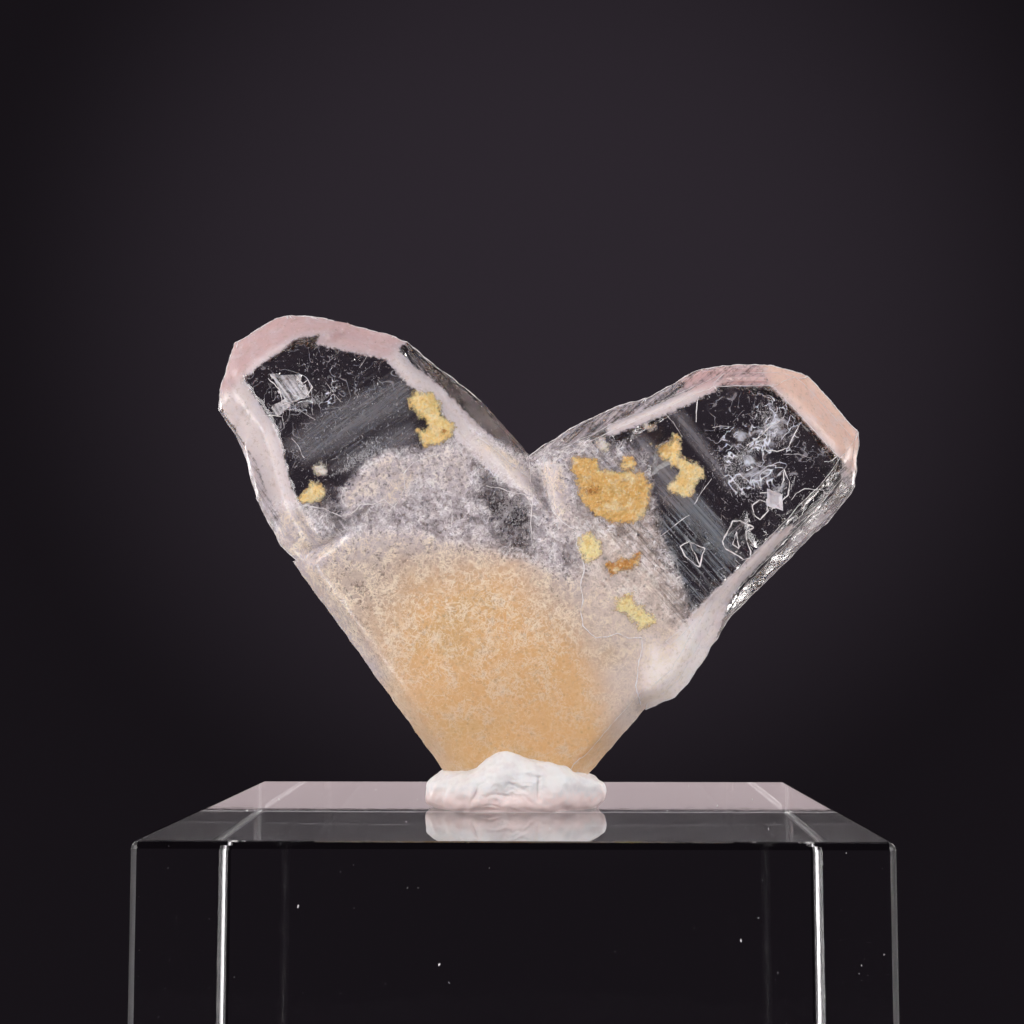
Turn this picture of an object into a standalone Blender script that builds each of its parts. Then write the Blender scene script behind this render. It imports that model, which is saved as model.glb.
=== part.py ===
"""A Japan law twin of quartz, held upright by white putty on a clear square block.

The frame has its origin in the middle of the block's underside, +X to the right, +Y away from the
front and +Z up. The twin's two crystals lie in the plane y = 0. A place on a crystal is given by a
level, which counts forwards from that plane, and by distances from the twin's corner at the root.
Distances and levels along the crystals are in millimetres.
"""

import math
import random

import bmesh
import bpy
from mathutils import Matrix, Vector

MM = 0.001

# Block and the gap between pieces, in metres
BLOCK_SIDE = 38.1 * MM
BLOCK_HEIGHT = 25.4 * MM
BLOCK_EDGE = 0.4 * MM
GAP = 0.3 * MM

# Quartz angles, in degrees: how far each kind of facet leans out of the twin's plane
TWIN_ANGLE = 84.5
RIGHT_AXIS = 41.5
LEFT_AXIS = RIGHT_AXIS + TWIN_ANGLE
PRISM = 30.0
RHOMB = 51.8
LOW_RHOMB = 49.0
SIDE_RHOMB = 34.0
VICINAL = 20.0
STEEP = 12.0

# Twin: its corner at the root in metres, and its levels in millimetres
CORNER = Vector((0.0, 0.0, 26.0 * MM))
ROOT_END = 0.5
RIGHT_FRONT = 2.5
LEFT_FRONT = 2.3
ROOT_FRONT = 2.05
RIM_FRONT = 0.95
RIM_EDGE = 0.55
CORE = -1.0
ROOT_EDGE = 0.2
ROOT_BACK = -2.05
RIM_BACK = -2.2
BACK_EDGE = -2.0
BACK_FACE = -2.5
ROOT_LEDGE = 0.2
ROOT_BACK_LEDGE = 0.15
STOCK = 120.0
CUT_TOLERANCE = 1e-4
WELD = 2e-6

# The sides of the four broad prism faces: (angle from the axis, distance, lean of the facet)
LEFT_FACE = (
    (90.0, -1.5, 38.0), (52.0, 17.8, 38.0), (37.3, 23.6, 34.0), (0.0, 30.55, RHOMB),
    (-48.0, 24.4, 38.0), (-86.0, 11.3, PRISM), (152.0, -19.4, STEEP),
)
RIGHT_FACE = (
    (73.0, 17.7, VICINAL), (48.8, 24.76, SIDE_RHOMB), (31.8, 28.3, 37.0),
    (0.0, 28.05, LOW_RHOMB), (-47.9, 17.2, PRISM), (-78.0, 3.5, PRISM), (-85.6, 0.0, PRISM),
    (-131.5, -9.3, STEEP), (175.4, -8.95, STEEP), (138.5, -4.0, STEEP),
)
LEFT_BACK_FACE = (
    (88.0, -1.4, 40.0), (0.0, 29.4, RHOMB), (-48.0, 22.6, 38.0), (-86.0, 10.9, 40.0),
    (170.0, -14.5, STEEP),
)
RIGHT_BACK_FACE = (
    (75.0, 15.9, 40.0), (48.0, 22.9, 38.0), (0.0, 26.4, RHOMB), (-60.0, 10.2, PRISM),
    (-87.0, -0.7, 40.0), (165.0, -13.0, STEEP),
)

# Growth terraces: low bands square to the axis, seeded
TERRACE_SEED = 8
TERRACE_TILT = 48.0
TERRACE_INSET = 0.04
TERRACE_SHIFT = (0.0, 0.35)
TERRACE_WIDTH = (0.25, 0.6)
TERRACE_RISE = (0.04, 0.1)
TERRACE_EDGE = 0.15
TERRACE_ROOT = 0.6
TERRACE_STAGGER = 0.013

# Etch pits, in millimetres: depth, and how wide they are at the bottom and far above the face
PIT_DEPTH = 0.22
PIT_BOTTOM = 0.55
PIT_FLARE = 1.45

# Putty, in metres
PUTTY_MIDDLE = Vector((-0.28 * MM, -0.25 * MM, BLOCK_HEIGHT + GAP))
PUTTY_HALF_WIDTH = 5.35 * MM
PUTTY_HALF_DEPTH = 4.15 * MM
PUTTY_WAIST = 1.0 * MM
PUTTY_TOP = 2.1 * MM
PUTTY_SQUARENESS = 3.2
PUTTY_FACETS = 4


def in_plane(bearing):
    """The direction in the twin's plane at a bearing from +X, in degrees."""
    angle = math.radians(bearing)
    return Vector((math.cos(angle), 0.0, math.sin(angle)))


def forwards(distance):
    """The step from the twin's plane to a level in front of it."""
    return Vector((0.0, -distance, 0.0))


def cut(bm, point, normal):
    """Cuts the convex solid at a plane, drops what is outside, and closes the new face.

    The solid is cut in millimetres, where the cut's tolerance is far below its smallest facet.
    """
    geometry = bm.verts[:] + bm.edges[:] + bm.faces[:]
    result = bmesh.ops.bisect_plane(
        bm, geom=geometry, dist=CUT_TOLERANCE, plane_co=point, plane_no=normal, clear_outer=True
    )
    edges = [item for item in result["geom_cut"] if isinstance(item, bmesh.types.BMEdge)]
    if len(edges) > 2:
        bmesh.ops.edgeloop_fill(bm, edges=edges)


def new_object(name, bm, collection):
    mesh = bpy.data.meshes.new(name)
    bm.to_mesh(mesh)
    bm.free()
    obj = bpy.data.objects.new(name, mesh)
    collection.objects.link(obj)
    return obj


def new_cutter(name, bm, collection):
    """A hidden solid in triangles, so that each of its faces is exactly flat for the Boolean."""
    bmesh.ops.triangulate(bm, faces=bm.faces)
    obj = new_object(name, bm, collection)
    obj.hide_render = True
    obj.display_type = "WIRE"
    return obj


def new_collection(name, parent):
    collection = bpy.data.collections.new(name)
    parent.children.link(collection)
    return collection


def combine(obj, others, operation):
    """Joins or cuts with a whole collection at once, so that corners are rounded off only once."""
    step = obj.modifiers.new(others.name, "BOOLEAN")
    step.operation = operation
    step.solver = "EXACT"
    step.operand_type = "COLLECTION"
    step.collection = others
    weld = obj.modifiers.new(others.name + "_weld", "WELD")
    weld.merge_threshold = WELD


def make_material(name, colour, roughness, transmission=0.0, ior=1.5):
    material = bpy.data.materials.new(name)
    material.use_nodes = True
    shader = material.node_tree.nodes["Principled BSDF"]
    shader.inputs["Base Color"].default_value = (*colour, 1.0)
    shader.inputs["Roughness"].default_value = roughness
    shader.inputs["Metallic"].default_value = 0.0
    shader.inputs["Transmission Weight"].default_value = transmission
    shader.inputs["IOR"].default_value = ior
    return material


def crystal(axis, front, back, edge_level, measured_at, sides):
    """One convex crystal between a front and a back level.

    Each side is (angle from the crystal's axis, distance from the corner at the level measured_at,
    lean of its front facet, lean of its back facet). The two facets meet at edge_level.
    """
    bm = bmesh.new()
    bmesh.ops.create_cube(bm, size=STOCK)
    cut(bm, forwards(front), forwards(1.0))
    cut(bm, forwards(back), forwards(-1.0))
    for angle, distance, front_lean, back_lean in sides:
        outward = in_plane(axis + angle)
        reach = distance + (measured_at - edge_level) * math.tan(math.radians(front_lean))
        edge = outward * reach + forwards(edge_level)
        for lean, facing in ((front_lean, 1.0), (back_lean, -1.0)):
            tilt = math.radians(lean)
            cut(bm, edge, outward * math.cos(tilt) + forwards(facing * math.sin(tilt)))
    bmesh.ops.recalc_face_normals(bm, faces=bm.faces)
    bmesh.ops.transform(bm, verts=bm.verts, matrix=Matrix.Translation(CORNER) @ Matrix.Scale(MM, 4))
    return bm


def front_plate(axis, level, sides):
    """A plate whose sides are measured round its front face."""
    sloped = [(angle, distance, lean, 0.0) for angle, distance, lean in sides]
    return crystal(axis, level, CORE, RIM_EDGE, level, sloped)


def rim_plate(axis, front, back, sides):
    """A plate whose sides are measured round its outer edge."""
    return crystal(axis, front, back, RIM_EDGE, RIM_EDGE, sides)


def back_plate(axis, level, sides):
    """A low plate on the back, whose sides are measured where they start to slope."""
    sloped = [(angle, distance, 0.0, lean) for angle, distance, lean in sides]
    return crystal(axis, CORE, level, BACK_EDGE, BACK_EDGE, sloped)


def left_plates():
    """The left crystal: its front face in parallel plates, the wider rim behind, and the back."""
    return {
        "left_front": front_plate(LEFT_AXIS, LEFT_FRONT, LEFT_FACE),
        "left_front_spur": front_plate(LEFT_AXIS, LEFT_FRONT - 0.05, (
            (90.0, -3.0, 36.0), (0.0, 30.5, RHOMB), (-40.0, 27.35, SIDE_RHOMB),
            (-157.5, -24.5, STEEP), (180.0, -26.5, STEEP),
        )),
        "left_front_shoulder": front_plate(LEFT_AXIS, LEFT_FRONT - 0.12, (
            (90.0, 0.45, 32.0), (71.0, 7.5, 36.0), (18.0, 25.6, RHOMB),
            (-90.0, 6.0, STEEP), (163.0, -18.6, STEEP),
        )),
        "left_front_flank": front_plate(LEFT_AXIS, LEFT_FRONT - 0.22, (
            (90.0, -6.5, 36.0), (0.0, 26.5, STEEP), (-60.0, 20.3, 38.0),
            (-84.0, 12.25, SIDE_RHOMB), (128.0, -20.6, STEEP), (-125.0, -4.4, STEEP),
        )),
        "left_rim": rim_plate(LEFT_AXIS, RIM_FRONT, RIM_BACK, (
            (86.0, 3.16, PRISM, PRISM), (52.0, 19.35, PRISM, 25.0), (37.3, 24.9, PRISM, 25.0),
            (-4.6, 33.2, RHOMB, 38.0), (-33.0, 30.45, RHOMB, SIDE_RHOMB),
            (-49.2, 26.0, SIDE_RHOMB, 25.0), (-74.6, 17.5, PRISM, PRISM),
            (-84.2, 14.45, PRISM, PRISM), (180.0, -10.0, 0.0, 0.0),
        )),
        "left_rim_shoulder": rim_plate(LEFT_AXIS, RIM_FRONT + 0.1, RIM_BACK + 0.1, (
            (70.0, 10.5, PRISM, PRISM), (82.0, 5.7, PRISM, PRISM), (96.5, 0.37, PRISM, PRISM),
            (30.0, 25.2, 40.0, 40.0), (-90.0, 6.0, 0.0, 0.0), (180.0, -19.3, 20.0, 20.0),
        )),
        "left_back": back_plate(LEFT_AXIS, BACK_FACE, LEFT_BACK_FACE),
        "left_back_shoulder": back_plate(LEFT_AXIS, BACK_FACE + 0.14, (
            (90.0, 0.2, 40.0), (20.0, 25.0, RHOMB), (-88.0, 8.8, 40.0), (150.0, -12.0, STEEP),
        )),
    }


def right_plates():
    """The right crystal, made as the left one is, with a foot where it ends beside the root."""
    return {
        "right_front": front_plate(RIGHT_AXIS, RIGHT_FRONT, RIGHT_FACE),
        "right_front_step": front_plate(RIGHT_AXIS, RIGHT_FRONT - 0.13, (
            (70.0, 18.3, VICINAL), (20.0, 24.4, STEEP), (-90.0, -3.0, STEEP),
            (146.0, -4.6, STEEP), (-160.0, -12.5, STEEP),
        )),
        "right_foot": front_plate(RIGHT_AXIS, RIGHT_FRONT - 0.3, (
            (0.0, 17.4, STEEP), (-72.0, 4.1, 33.0), (-90.0, 0.45, 33.0), (-107.0, -2.7, 33.0),
            (125.5, -5.95, STEEP),
        )),
        "right_rim": rim_plate(RIGHT_AXIS, RIM_FRONT, RIM_BACK, (
            (77.5, 17.45, PRISM, PRISM), (53.4, 25.17, SIDE_RHOMB, 25.0),
            (47.1, 26.78, SIDE_RHOMB, 25.0), (31.8, 29.79, 37.0, SIDE_RHOMB),
            (-1.2, 30.3, LOW_RHOMB, 38.0), (-40.5, 21.29, PRISM, 25.0),
            (-47.9, 18.39, PRISM, 25.0), (-76.9, 5.89, PRISM, PRISM),
            (-87.3, 1.2, PRISM, PRISM), (180.0, -10.0, 0.0, 0.0),
        )),
        "right_rim_shoulder": rim_plate(RIGHT_AXIS, RIM_FRONT + 0.1, RIM_BACK + 0.12, (
            (81.0, 17.2, PRISM, PRISM), (73.8, 18.97, PRISM, PRISM), (64.0, 21.38, PRISM, PRISM),
            (30.0, 25.6, 40.0, 40.0), (-90.0, -4.0, 0.0, 0.0), (180.0, -10.5, 0.0, 0.0),
        )),
        "right_rim_foot": rim_plate(RIGHT_AXIS, RIM_FRONT + 0.2, RIM_BACK + 0.2, (
            (-74.0, 5.05, PRISM, PRISM), (-90.0, 1.76, PRISM, PRISM),
            (-107.0, -1.56, PRISM, PRISM), (180.0, -9.3, VICINAL, VICINAL),
            (0.0, 18.6, 40.0, 40.0), (90.0, 8.0, 0.0, 0.0),
        )),
        "right_back": back_plate(RIGHT_AXIS, BACK_FACE - 0.05, RIGHT_BACK_FACE),
        "right_back_shoulder": back_plate(RIGHT_AXIS, BACK_FACE + 0.12, (
            (79.0, 15.6, 40.0), (10.0, 22.0, STEEP), (-88.0, -2.6, 40.0), (-170.0, -10.5, STEEP),
        )),
    }


def root_sides(inset):
    """The sides of the root, whose edges run along both crystals, drawn in by an inset."""
    left_side = LEFT_AXIS + 90.2
    right_side = RIGHT_AXIS - 83.0
    return (
        (left_side, 2.75 - inset, PRISM, PRISM), (LEFT_AXIS, 19.7 - inset, 25.0, 25.0),
        (RIGHT_AXIS, 13.5 - inset, 25.0, 25.0), (right_side, 2.3 - inset, PRISM, PRISM),
    )


def root_end(distance):
    """The broken lower end of the root, which the putty hides."""
    return ((270.0, -distance, 0.0, 10.0),)


def root_plates():
    """The milky root that both crystals grew from, with low ledges front and back."""
    return {
        "root_ledge_left": crystal(0.0, ROOT_FRONT + 0.12, CORE, ROOT_EDGE, ROOT_FRONT, (
            (216.2, 1.5, PRISM, 0.0), (138.0, 15.7, STEEP, 0.0), (85.0, 15.2, STEEP, 0.0),
            (2.0, -1.2, STEEP, 0.0), (-28.0, -2.9, STEEP, 0.0), (262.0, -4.3, STEEP, 0.0),
        )),
        "root_ledge_right": crystal(0.0, ROOT_FRONT + 0.08, CORE, ROOT_EDGE, ROOT_FRONT, (
            (318.5, 1.2, PRISM, 0.0), (92.0, 8.05, STEEP, 0.0), (178.0, -1.9, STEEP, 0.0),
            (236.0, -4.2, STEEP, 0.0), (30.0, 11.5, STEEP, 0.0),
        )),
        "root_ledge_middle": crystal(0.0, ROOT_FRONT + ROOT_LEDGE, CORE, ROOT_EDGE, ROOT_FRONT, (
            (130.0, 11.0, STEEP, 0.0), (47.0, 11.8, STEEP, 0.0), (-20.0, 1.0, STEEP, 0.0),
            (-80.0, -7.1, STEEP, 0.0), (210.0, 0.6, STEEP, 0.0),
        )),
        "root_ledge_back": crystal(0.0, 0.0, ROOT_BACK - ROOT_BACK_LEDGE, ROOT_BACK, ROOT_BACK, (
            (216.2, 0.9, 0.0, 40.0), (128.0, 13.4, 0.0, STEEP), (40.0, 9.8, 0.0, STEEP),
            (318.0, 0.4, 0.0, 40.0), (265.0, -3.6, 0.0, STEEP),
        )),
    }


def terraces():
    """Low growth terraces on the broad prism faces, square to each crystal's axis.

    Each face gives its axis, its level, whether it looks forwards, where along the axis its
    terraces start and end, how many there are, and its sides.
    """
    rng = random.Random(TERRACE_SEED)
    faces = {
        "left_front": (LEFT_AXIS, LEFT_FRONT, True, 20.8, 30.3, 9, LEFT_FACE),
        "right_front": (RIGHT_AXIS, RIGHT_FRONT, True, 9.5, 27.8, 14, RIGHT_FACE),
        "left_back": (LEFT_AXIS, -BACK_FACE, False, 15.0, 29.0, 7, LEFT_BACK_FACE),
        "right_back": (RIGHT_AXIS, 0.05 - BACK_FACE, False, 14.2, 26.0, 8, RIGHT_BACK_FACE),
    }
    plates = {}
    for name, (axis, level, on_front, start, end, count, face_sides) in faces.items():
        pitch = (end - start) / count
        for index in range(count):
            near = start + (index + rng.uniform(*TERRACE_SHIFT)) * pitch
            far = near + rng.uniform(*TERRACE_WIDTH) * pitch
            rise = rng.uniform(*TERRACE_RISE)
            slope = 0.0 if on_front else (level + BACK_EDGE) * math.tan(math.radians(TERRACE_TILT))
            walls = [(angle, place - TERRACE_INSET, lean) for angle, place, lean in face_sides]
            walls += [(0.0, far + slope, TERRACE_TILT), (180.0, slope - near, TERRACE_TILT)]
            base = level - TERRACE_ROOT - TERRACE_STAGGER * index
            if on_front:
                sides = [(angle, place, lean, 0.0) for angle, place, lean in walls]
                bm = crystal(axis, level + rise, base, level - TERRACE_EDGE, level, sides)
            else:
                sides = [(angle, place, 0.0, lean) for angle, place, lean in walls]
                bm = crystal(axis, -base, -level - rise, BACK_EDGE, BACK_EDGE, sides)
            plates[f"{name}_terrace_{index}"] = bm
    return plates


def etch_pits():
    """Shallow pits with flat sides: (x and height in mm, corners, size, stretch, turn, level)."""
    places = (
        (13.4, 42.0, 3, 1.05, 1.2, 20.0, RIGHT_FRONT), (10.9, 41.2, 3, 0.8, 1.25, -8.0, RIGHT_FRONT),
        (15.5, 43.9, 4, 0.55, 1.5, 55.0, RIGHT_FRONT), (8.9, 46.6, 4, 0.7, 2.0, -55.0, RIGHT_FRONT),
        (-13.8, 50.9, 4, 0.85, 1.6, 30.0, LEFT_FRONT), (-10.6, 48.2, 3, 0.45, 1.3, 100.0, LEFT_FRONT),
        (12.6, 45.0, 3, 0.9, 1.2, 75.0, BACK_FACE), (-12.4, 46.9, 3, 0.7, 1.3, 17.0, BACK_FACE),
        (-9.6, 42.4, 4, 0.55, 1.6, 33.0, BACK_FACE),
    )
    pits = {}
    for index, (x, height, corners, size, stretch, turn, level) in enumerate(places):
        facing = 1.0 if level > 0.0 else -1.0
        bm = bmesh.new()
        bmesh.ops.create_cone(
            bm, cap_ends=True, segments=corners, radius1=PIT_BOTTOM * size * MM,
            radius2=PIT_FLARE * size * MM, depth=2.0 * PIT_DEPTH * MM,
        )
        stand_up = Matrix.Rotation(math.radians(90.0 * facing), 4, "X")
        turned = Matrix.Rotation(math.radians(turn), 4, "Y")
        wide = Matrix.Diagonal((stretch, 1.0, 1.0, 1.0))
        place = Matrix.Translation(Vector((x * MM, -level * MM, height * MM)))
        bmesh.ops.transform(bm, verts=bm.verts, matrix=place @ turned @ wide @ stand_up)
        bmesh.ops.recalc_face_normals(bm, faces=bm.faces)
        pits[f"pit_{index}"] = bm
    return pits


def quartz_twin(parts, cutters):
    """The whole twin as one solid: the root, with every plate joined to it and the pits cut."""
    body = crystal(
        0.0, ROOT_FRONT, ROOT_BACK, ROOT_EDGE, ROOT_EDGE, root_sides(0.0) + root_end(ROOT_END)
    )
    bmesh.ops.triangulate(body, faces=body.faces)
    twin = new_object("quartz_twin", body, parts)
    growth = new_collection("growth_plates", cutters)
    for plates in (left_plates(), right_plates(), root_plates(), terraces()):
        for name, bm in plates.items():
            new_cutter(name, bm, growth)
    pits = new_collection("etch_pits", cutters)
    for name, bm in etch_pits().items():
        new_cutter(name, bm, pits)
    combine(twin, growth, "UNION")
    combine(twin, pits, "DIFFERENCE")
    twin.data.materials.append(
        make_material("quartz", (0.93, 0.9, 0.89), 0.06, transmission=1.0, ior=1.544)
    )
    return twin


def bump(distance, width):
    return math.exp(-((distance / width) ** 2))


def putty_top(x, y):
    """How high the putty stands, with a hump pressed up in front of the crystal."""
    across = x / MM
    along = y / MM
    front_hump = 1.35 * bump(across + 0.5, 1.3) * bump(along + 2.9, 1.7)
    front_ridge = 0.75 * bump(across - 1.9, 1.9) * bump(along + 2.8, 1.7)
    left_lobe = 0.3 * bump(across + 4.0, 1.0)
    back_hump = 0.7 * bump(across - 0.8, 2.6) * bump(along - 2.9, 1.5)
    return PUTTY_TOP + (front_hump + front_ridge + left_lobe + back_hump) * MM


def mounting_putty(parts, cutters):
    """A squashed lump with a flat underside, and a pocket that the root stands in."""
    bm = bmesh.new()
    bmesh.ops.create_icosphere(bm, subdivisions=PUTTY_FACETS, radius=1.0)
    for vert in bm.verts:
        n = vert.co.normalized()
        turn = math.atan2(n.y, n.x)
        bulge = max(0.0, 1.0 - abs(n.z) ** PUTTY_SQUARENESS) ** (1.0 / PUTTY_SQUARENESS)
        wobble = 1.0 + 0.035 * math.cos(3.0 * turn + 0.6) + 0.02 * math.cos(7.0 * turn + 1.9)
        x = PUTTY_HALF_WIDTH * bulge * math.cos(turn) * wobble
        y = PUTTY_HALF_DEPTH * bulge * math.sin(turn) * wobble
        if n.z > 0.0:
            z = PUTTY_WAIST + (putty_top(x, y) - PUTTY_WAIST) * n.z
        else:
            z = max(0.0, PUTTY_WAIST * (1.0 + 1.5 * n.z))
        vert.co = PUTTY_MIDDLE + Vector((x, y, z))
    floor = PUTTY_MIDDLE.z
    low = [vert for vert in bm.verts if vert.co.z < floor + 1e-7]
    bmesh.ops.dissolve_limit(bm, angle_limit=math.radians(1.0), verts=low, edges=bm.edges)
    putty = new_object("mounting_putty", bm, parts)

    gap = GAP / MM
    pocket = crystal(
        0.0, ROOT_FRONT + ROOT_LEDGE + gap, ROOT_BACK - ROOT_BACK_LEDGE - gap,
        ROOT_EDGE, ROOT_EDGE, root_sides(-gap) + root_end(ROOT_END - gap),
    )
    pockets = new_collection("pockets", cutters)
    new_cutter("root_pocket", pocket, pockets)
    combine(putty, pockets, "DIFFERENCE")
    putty.data.materials.append(make_material("white_putty", (0.9, 0.87, 0.88), 0.55))
    return putty


def display_block(parts):
    """The clear block, with its edges eased."""
    bm = bmesh.new()
    size = Matrix.Diagonal((BLOCK_SIDE, BLOCK_SIDE, BLOCK_HEIGHT, 1.0))
    lift = Matrix.Translation(Vector((0.0, 0.0, BLOCK_HEIGHT / 2)))
    bmesh.ops.create_cube(bm, size=1.0, matrix=lift @ size)
    block = new_object("display_block", bm, parts)
    eased = block.modifiers.new("eased_edges", "BEVEL")
    eased.width = BLOCK_EDGE
    eased.segments = 3
    block.data.materials.append(
        make_material("clear_acrylic", (0.97, 0.97, 0.98), 0.03, transmission=1.0, ior=1.49)
    )
    return block


def main():
    for obj in list(bpy.data.objects):
        bpy.data.objects.remove(obj)
    parts = new_collection("japan_law_twin_quartz", bpy.context.scene.collection)
    cutters = new_collection("cutters", bpy.context.scene.collection)
    display_block(parts)
    mounting_putty(parts, cutters)
    quartz_twin(parts, cutters)


main()
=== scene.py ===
"""Japan law twin of quartz on a clear block: its surfaces, inclusions, stains, putty and studio.

Run as a script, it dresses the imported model. Places are in millimetres in the model's frame unless
a name says otherwise: +X right, +Y away from the front, +Z up, with the twin in the plane y = 0.
"""

import math
import random

import bmesh
import bpy
import numpy as np
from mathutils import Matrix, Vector, noise
from mathutils.bvhtree import BVHTree
from mathutils.kdtree import KDTree


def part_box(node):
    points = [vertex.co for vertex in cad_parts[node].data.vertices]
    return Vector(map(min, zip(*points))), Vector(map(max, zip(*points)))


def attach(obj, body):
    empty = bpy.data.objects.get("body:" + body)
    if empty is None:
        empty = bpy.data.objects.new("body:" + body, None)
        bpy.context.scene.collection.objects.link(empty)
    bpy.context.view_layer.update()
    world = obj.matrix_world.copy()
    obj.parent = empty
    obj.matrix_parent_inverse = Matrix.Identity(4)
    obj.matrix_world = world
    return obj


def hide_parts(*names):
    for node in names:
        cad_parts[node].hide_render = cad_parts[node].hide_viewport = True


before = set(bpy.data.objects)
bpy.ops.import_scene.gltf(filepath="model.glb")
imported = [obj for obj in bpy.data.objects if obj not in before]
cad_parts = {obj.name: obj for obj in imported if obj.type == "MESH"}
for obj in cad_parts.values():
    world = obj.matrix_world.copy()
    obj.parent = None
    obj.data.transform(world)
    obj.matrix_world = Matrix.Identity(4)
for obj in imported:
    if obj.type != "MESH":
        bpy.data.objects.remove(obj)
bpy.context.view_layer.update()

MM = 0.001
BLOCK_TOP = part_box("display_block")[1][2] / MM
BLOCK_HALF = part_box("display_block")[1][0] / MM
TWIN_LOW, TWIN_HIGH = (Vector(corner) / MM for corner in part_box("quartz_twin"))

bl_info = {
    "name": "Japan Law Twin Quartz",
    "version": (1, 0, 0),
    "blender": (4, 5, 0),
    "location": "View3D > Sidebar > Quartz Twin",
    "description": "Dresses a twinned quartz crystal on its display block",
    "category": "Object",
}

# Where the two crystals meet, and their axes in the twin's plane
TWIN_CORNER = Vector((0.0, 0.0, 26.0))
LEFT_AXIS = math.radians(126.0)
RIGHT_AXIS = math.radians(41.5)

# The height map that wears the broad faces' terraces away: its spacing and how far it is blurred
MAP_STEP = 0.2
FACE_BLUR = 0.8

# How frosted the back's bevels are, with their painted highlight bands, against the front's
BACK_SHARE = 0.6

QUARTZ_IOR, ACRYLIC_IOR = 1.544, 1.49
BLOCK_CHAMFER = 0.37

# Milky growth in the broad faces: outline (x, z), weight and softness of its edge
MILKY_ZONES = (
    (((-14.4, 39.2), (-11.0, 40.8), (-8.9, 41.2), (-5.9, 41.2), (-2.9, 40.2), (0.6, 39.2),
      (4.1, 38.0), (8.5, 35.4), (11.5, 34.0), (9.5, 29.0), (5.5, 22.0), (-6.0, 22.0), (-9.0, 27.0),
      (-14.4, 36.0)), 1.0, 3.0),
    (((-14.6, 43.6), (-10.6, 42.8), (-7.6, 43.6), (-6.6, 46.6), (-5.4, 47.9), (-2.6, 48.2),
      (0.9, 46.6), (2.6, 45.8), (3.5, 40.6), (4.1, 37.9), (4.1, 34.3), (-11.3, 34.3),
      (-15.0, 40.3)), 0.74, 1.4),
    (((1.1, 47.2), (2.6, 47.8), (5.1, 47.7), (7.8, 47.2), (8.1, 45.6), (8.3, 43.5), (8.8, 41.9),
      (10.4, 37.9), (10.8, 34.6), (8.2, 31.5), (7.3, 33.6), (4.1, 35.5), (3.6, 40.6)), 0.68, 1.6),
    (((3.9, 41.4), (5.4, 42.0), (8.2, 39.6), (9.6, 36.6), (10.2, 34.4), (8.4, 31.4), (7.2, 31.5),
      (7.3, 35.2), (4.4, 35.4), (3.9, 37.0)), 0.22, 1.2),
    (((-10.6, 44.4), (-9.3, 46.4), (-7.7, 47.2), (-7.0, 46.2), (-7.1, 44.4), (-7.8, 43.6),
      (-9.1, 43.9), (-10.3, 43.2)), 0.55, 0.8),
    (((-10.9, 44.6), (-9.0, 46.0), (-7.2, 47.4), (-6.4, 47.2), (-6.2, 45.4), (-7.4, 43.4),
      (-8.9, 43.3), (-10.4, 42.9)), 0.4, 0.8),
    (((-12.6, 45.0), (-11.2, 44.9), (-10.2, 43.8), (-10.4, 42.6), (-13.2, 42.6), (-13.6, 43.6)),
      0.3, 0.9),
    (((-4.9, 47.6), (-3.9, 47.3), (-2.4, 46.2), (-2.6, 44.4), (-4.8, 44.4), (-6.4, 46.2)), 0.14,
      1.0),
    (((-15.0, 44.2), (-13.2, 43.7), (-12.3, 41.8), (-11.3, 40.2), (-13.6, 39.4), (-15.6, 42.0)),
      0.5, 1.2),
    (((-2.9, 48.6), (-1.2, 47.5), (0.7, 45.9), (0.8, 44.0), (-0.5, 44.2), (-2.2, 46.4)), 0.4, 1.0),
)
CLEAR_ZONES = (
    (((-2.6, 46.2), (-1.6, 46.6), (0.4, 44.5), (0.9, 42.9), (0.8, 40.6), (-0.6, 40.5),
      (-1.6, 42.6), (-2.6, 44.2)), 0.5, 1.5),
    (((-12.8, 43.0), (-11.4, 43.3), (-10.0, 42.8), (-10.3, 41.9), (-11.5, 41.8), (-12.5, 42.3)),
      0.25, 0.9),
)

# The tan middle of the root
CORE = ((-8.1, 36.8), (-6.4, 39.0), (-2.7, 40.0), (-0.1, 40.2), (1.7, 37.4), (4.8, 35.4),
        (6.3, 34.4), (7.0, 31.9), (5.6, 27.0), (2.0, 24.0), (-3.4, 25.0), (-6.4, 30.2),
        (-7.9, 33.3))

# Thin veils just under the front faces: outline, weight, softness
VEILS = (
    (((-14.2, 47.3), (-12.4, 49.0), (-10.2, 50.2), (-7.0, 51.5), (-6.3, 50.6), (-6.7, 49.5),
      (-8.8, 48.4), (-11.3, 46.9), (-12.9, 46.2)), 0.2, 0.9),
    (((-11.3, 45.9), (-10.2, 47.0), (-6.6, 48.7), (-6.0, 47.8), (-7.1, 46.5), (-9.1, 46.5),
      (-10.2, 45.6)), 0.2, 0.7),
    (((6.9, 48.1), (7.8, 47.7), (9.9, 45.6), (11.1, 43.9), (12.2, 42.5), (13.3, 40.4),
      (12.5, 40.0), (11.2, 41.7), (9.8, 43.0), (8.6, 43.9), (8.1, 45.6)), 0.3, 0.6),
    (((9.3, 49.2), (10.0, 49.3), (11.2, 47.7), (12.5, 45.6), (13.3, 44.6), (12.8, 44.4),
      (11.5, 46.1), (10.3, 47.6)), 0.26, 0.5),
)

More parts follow.
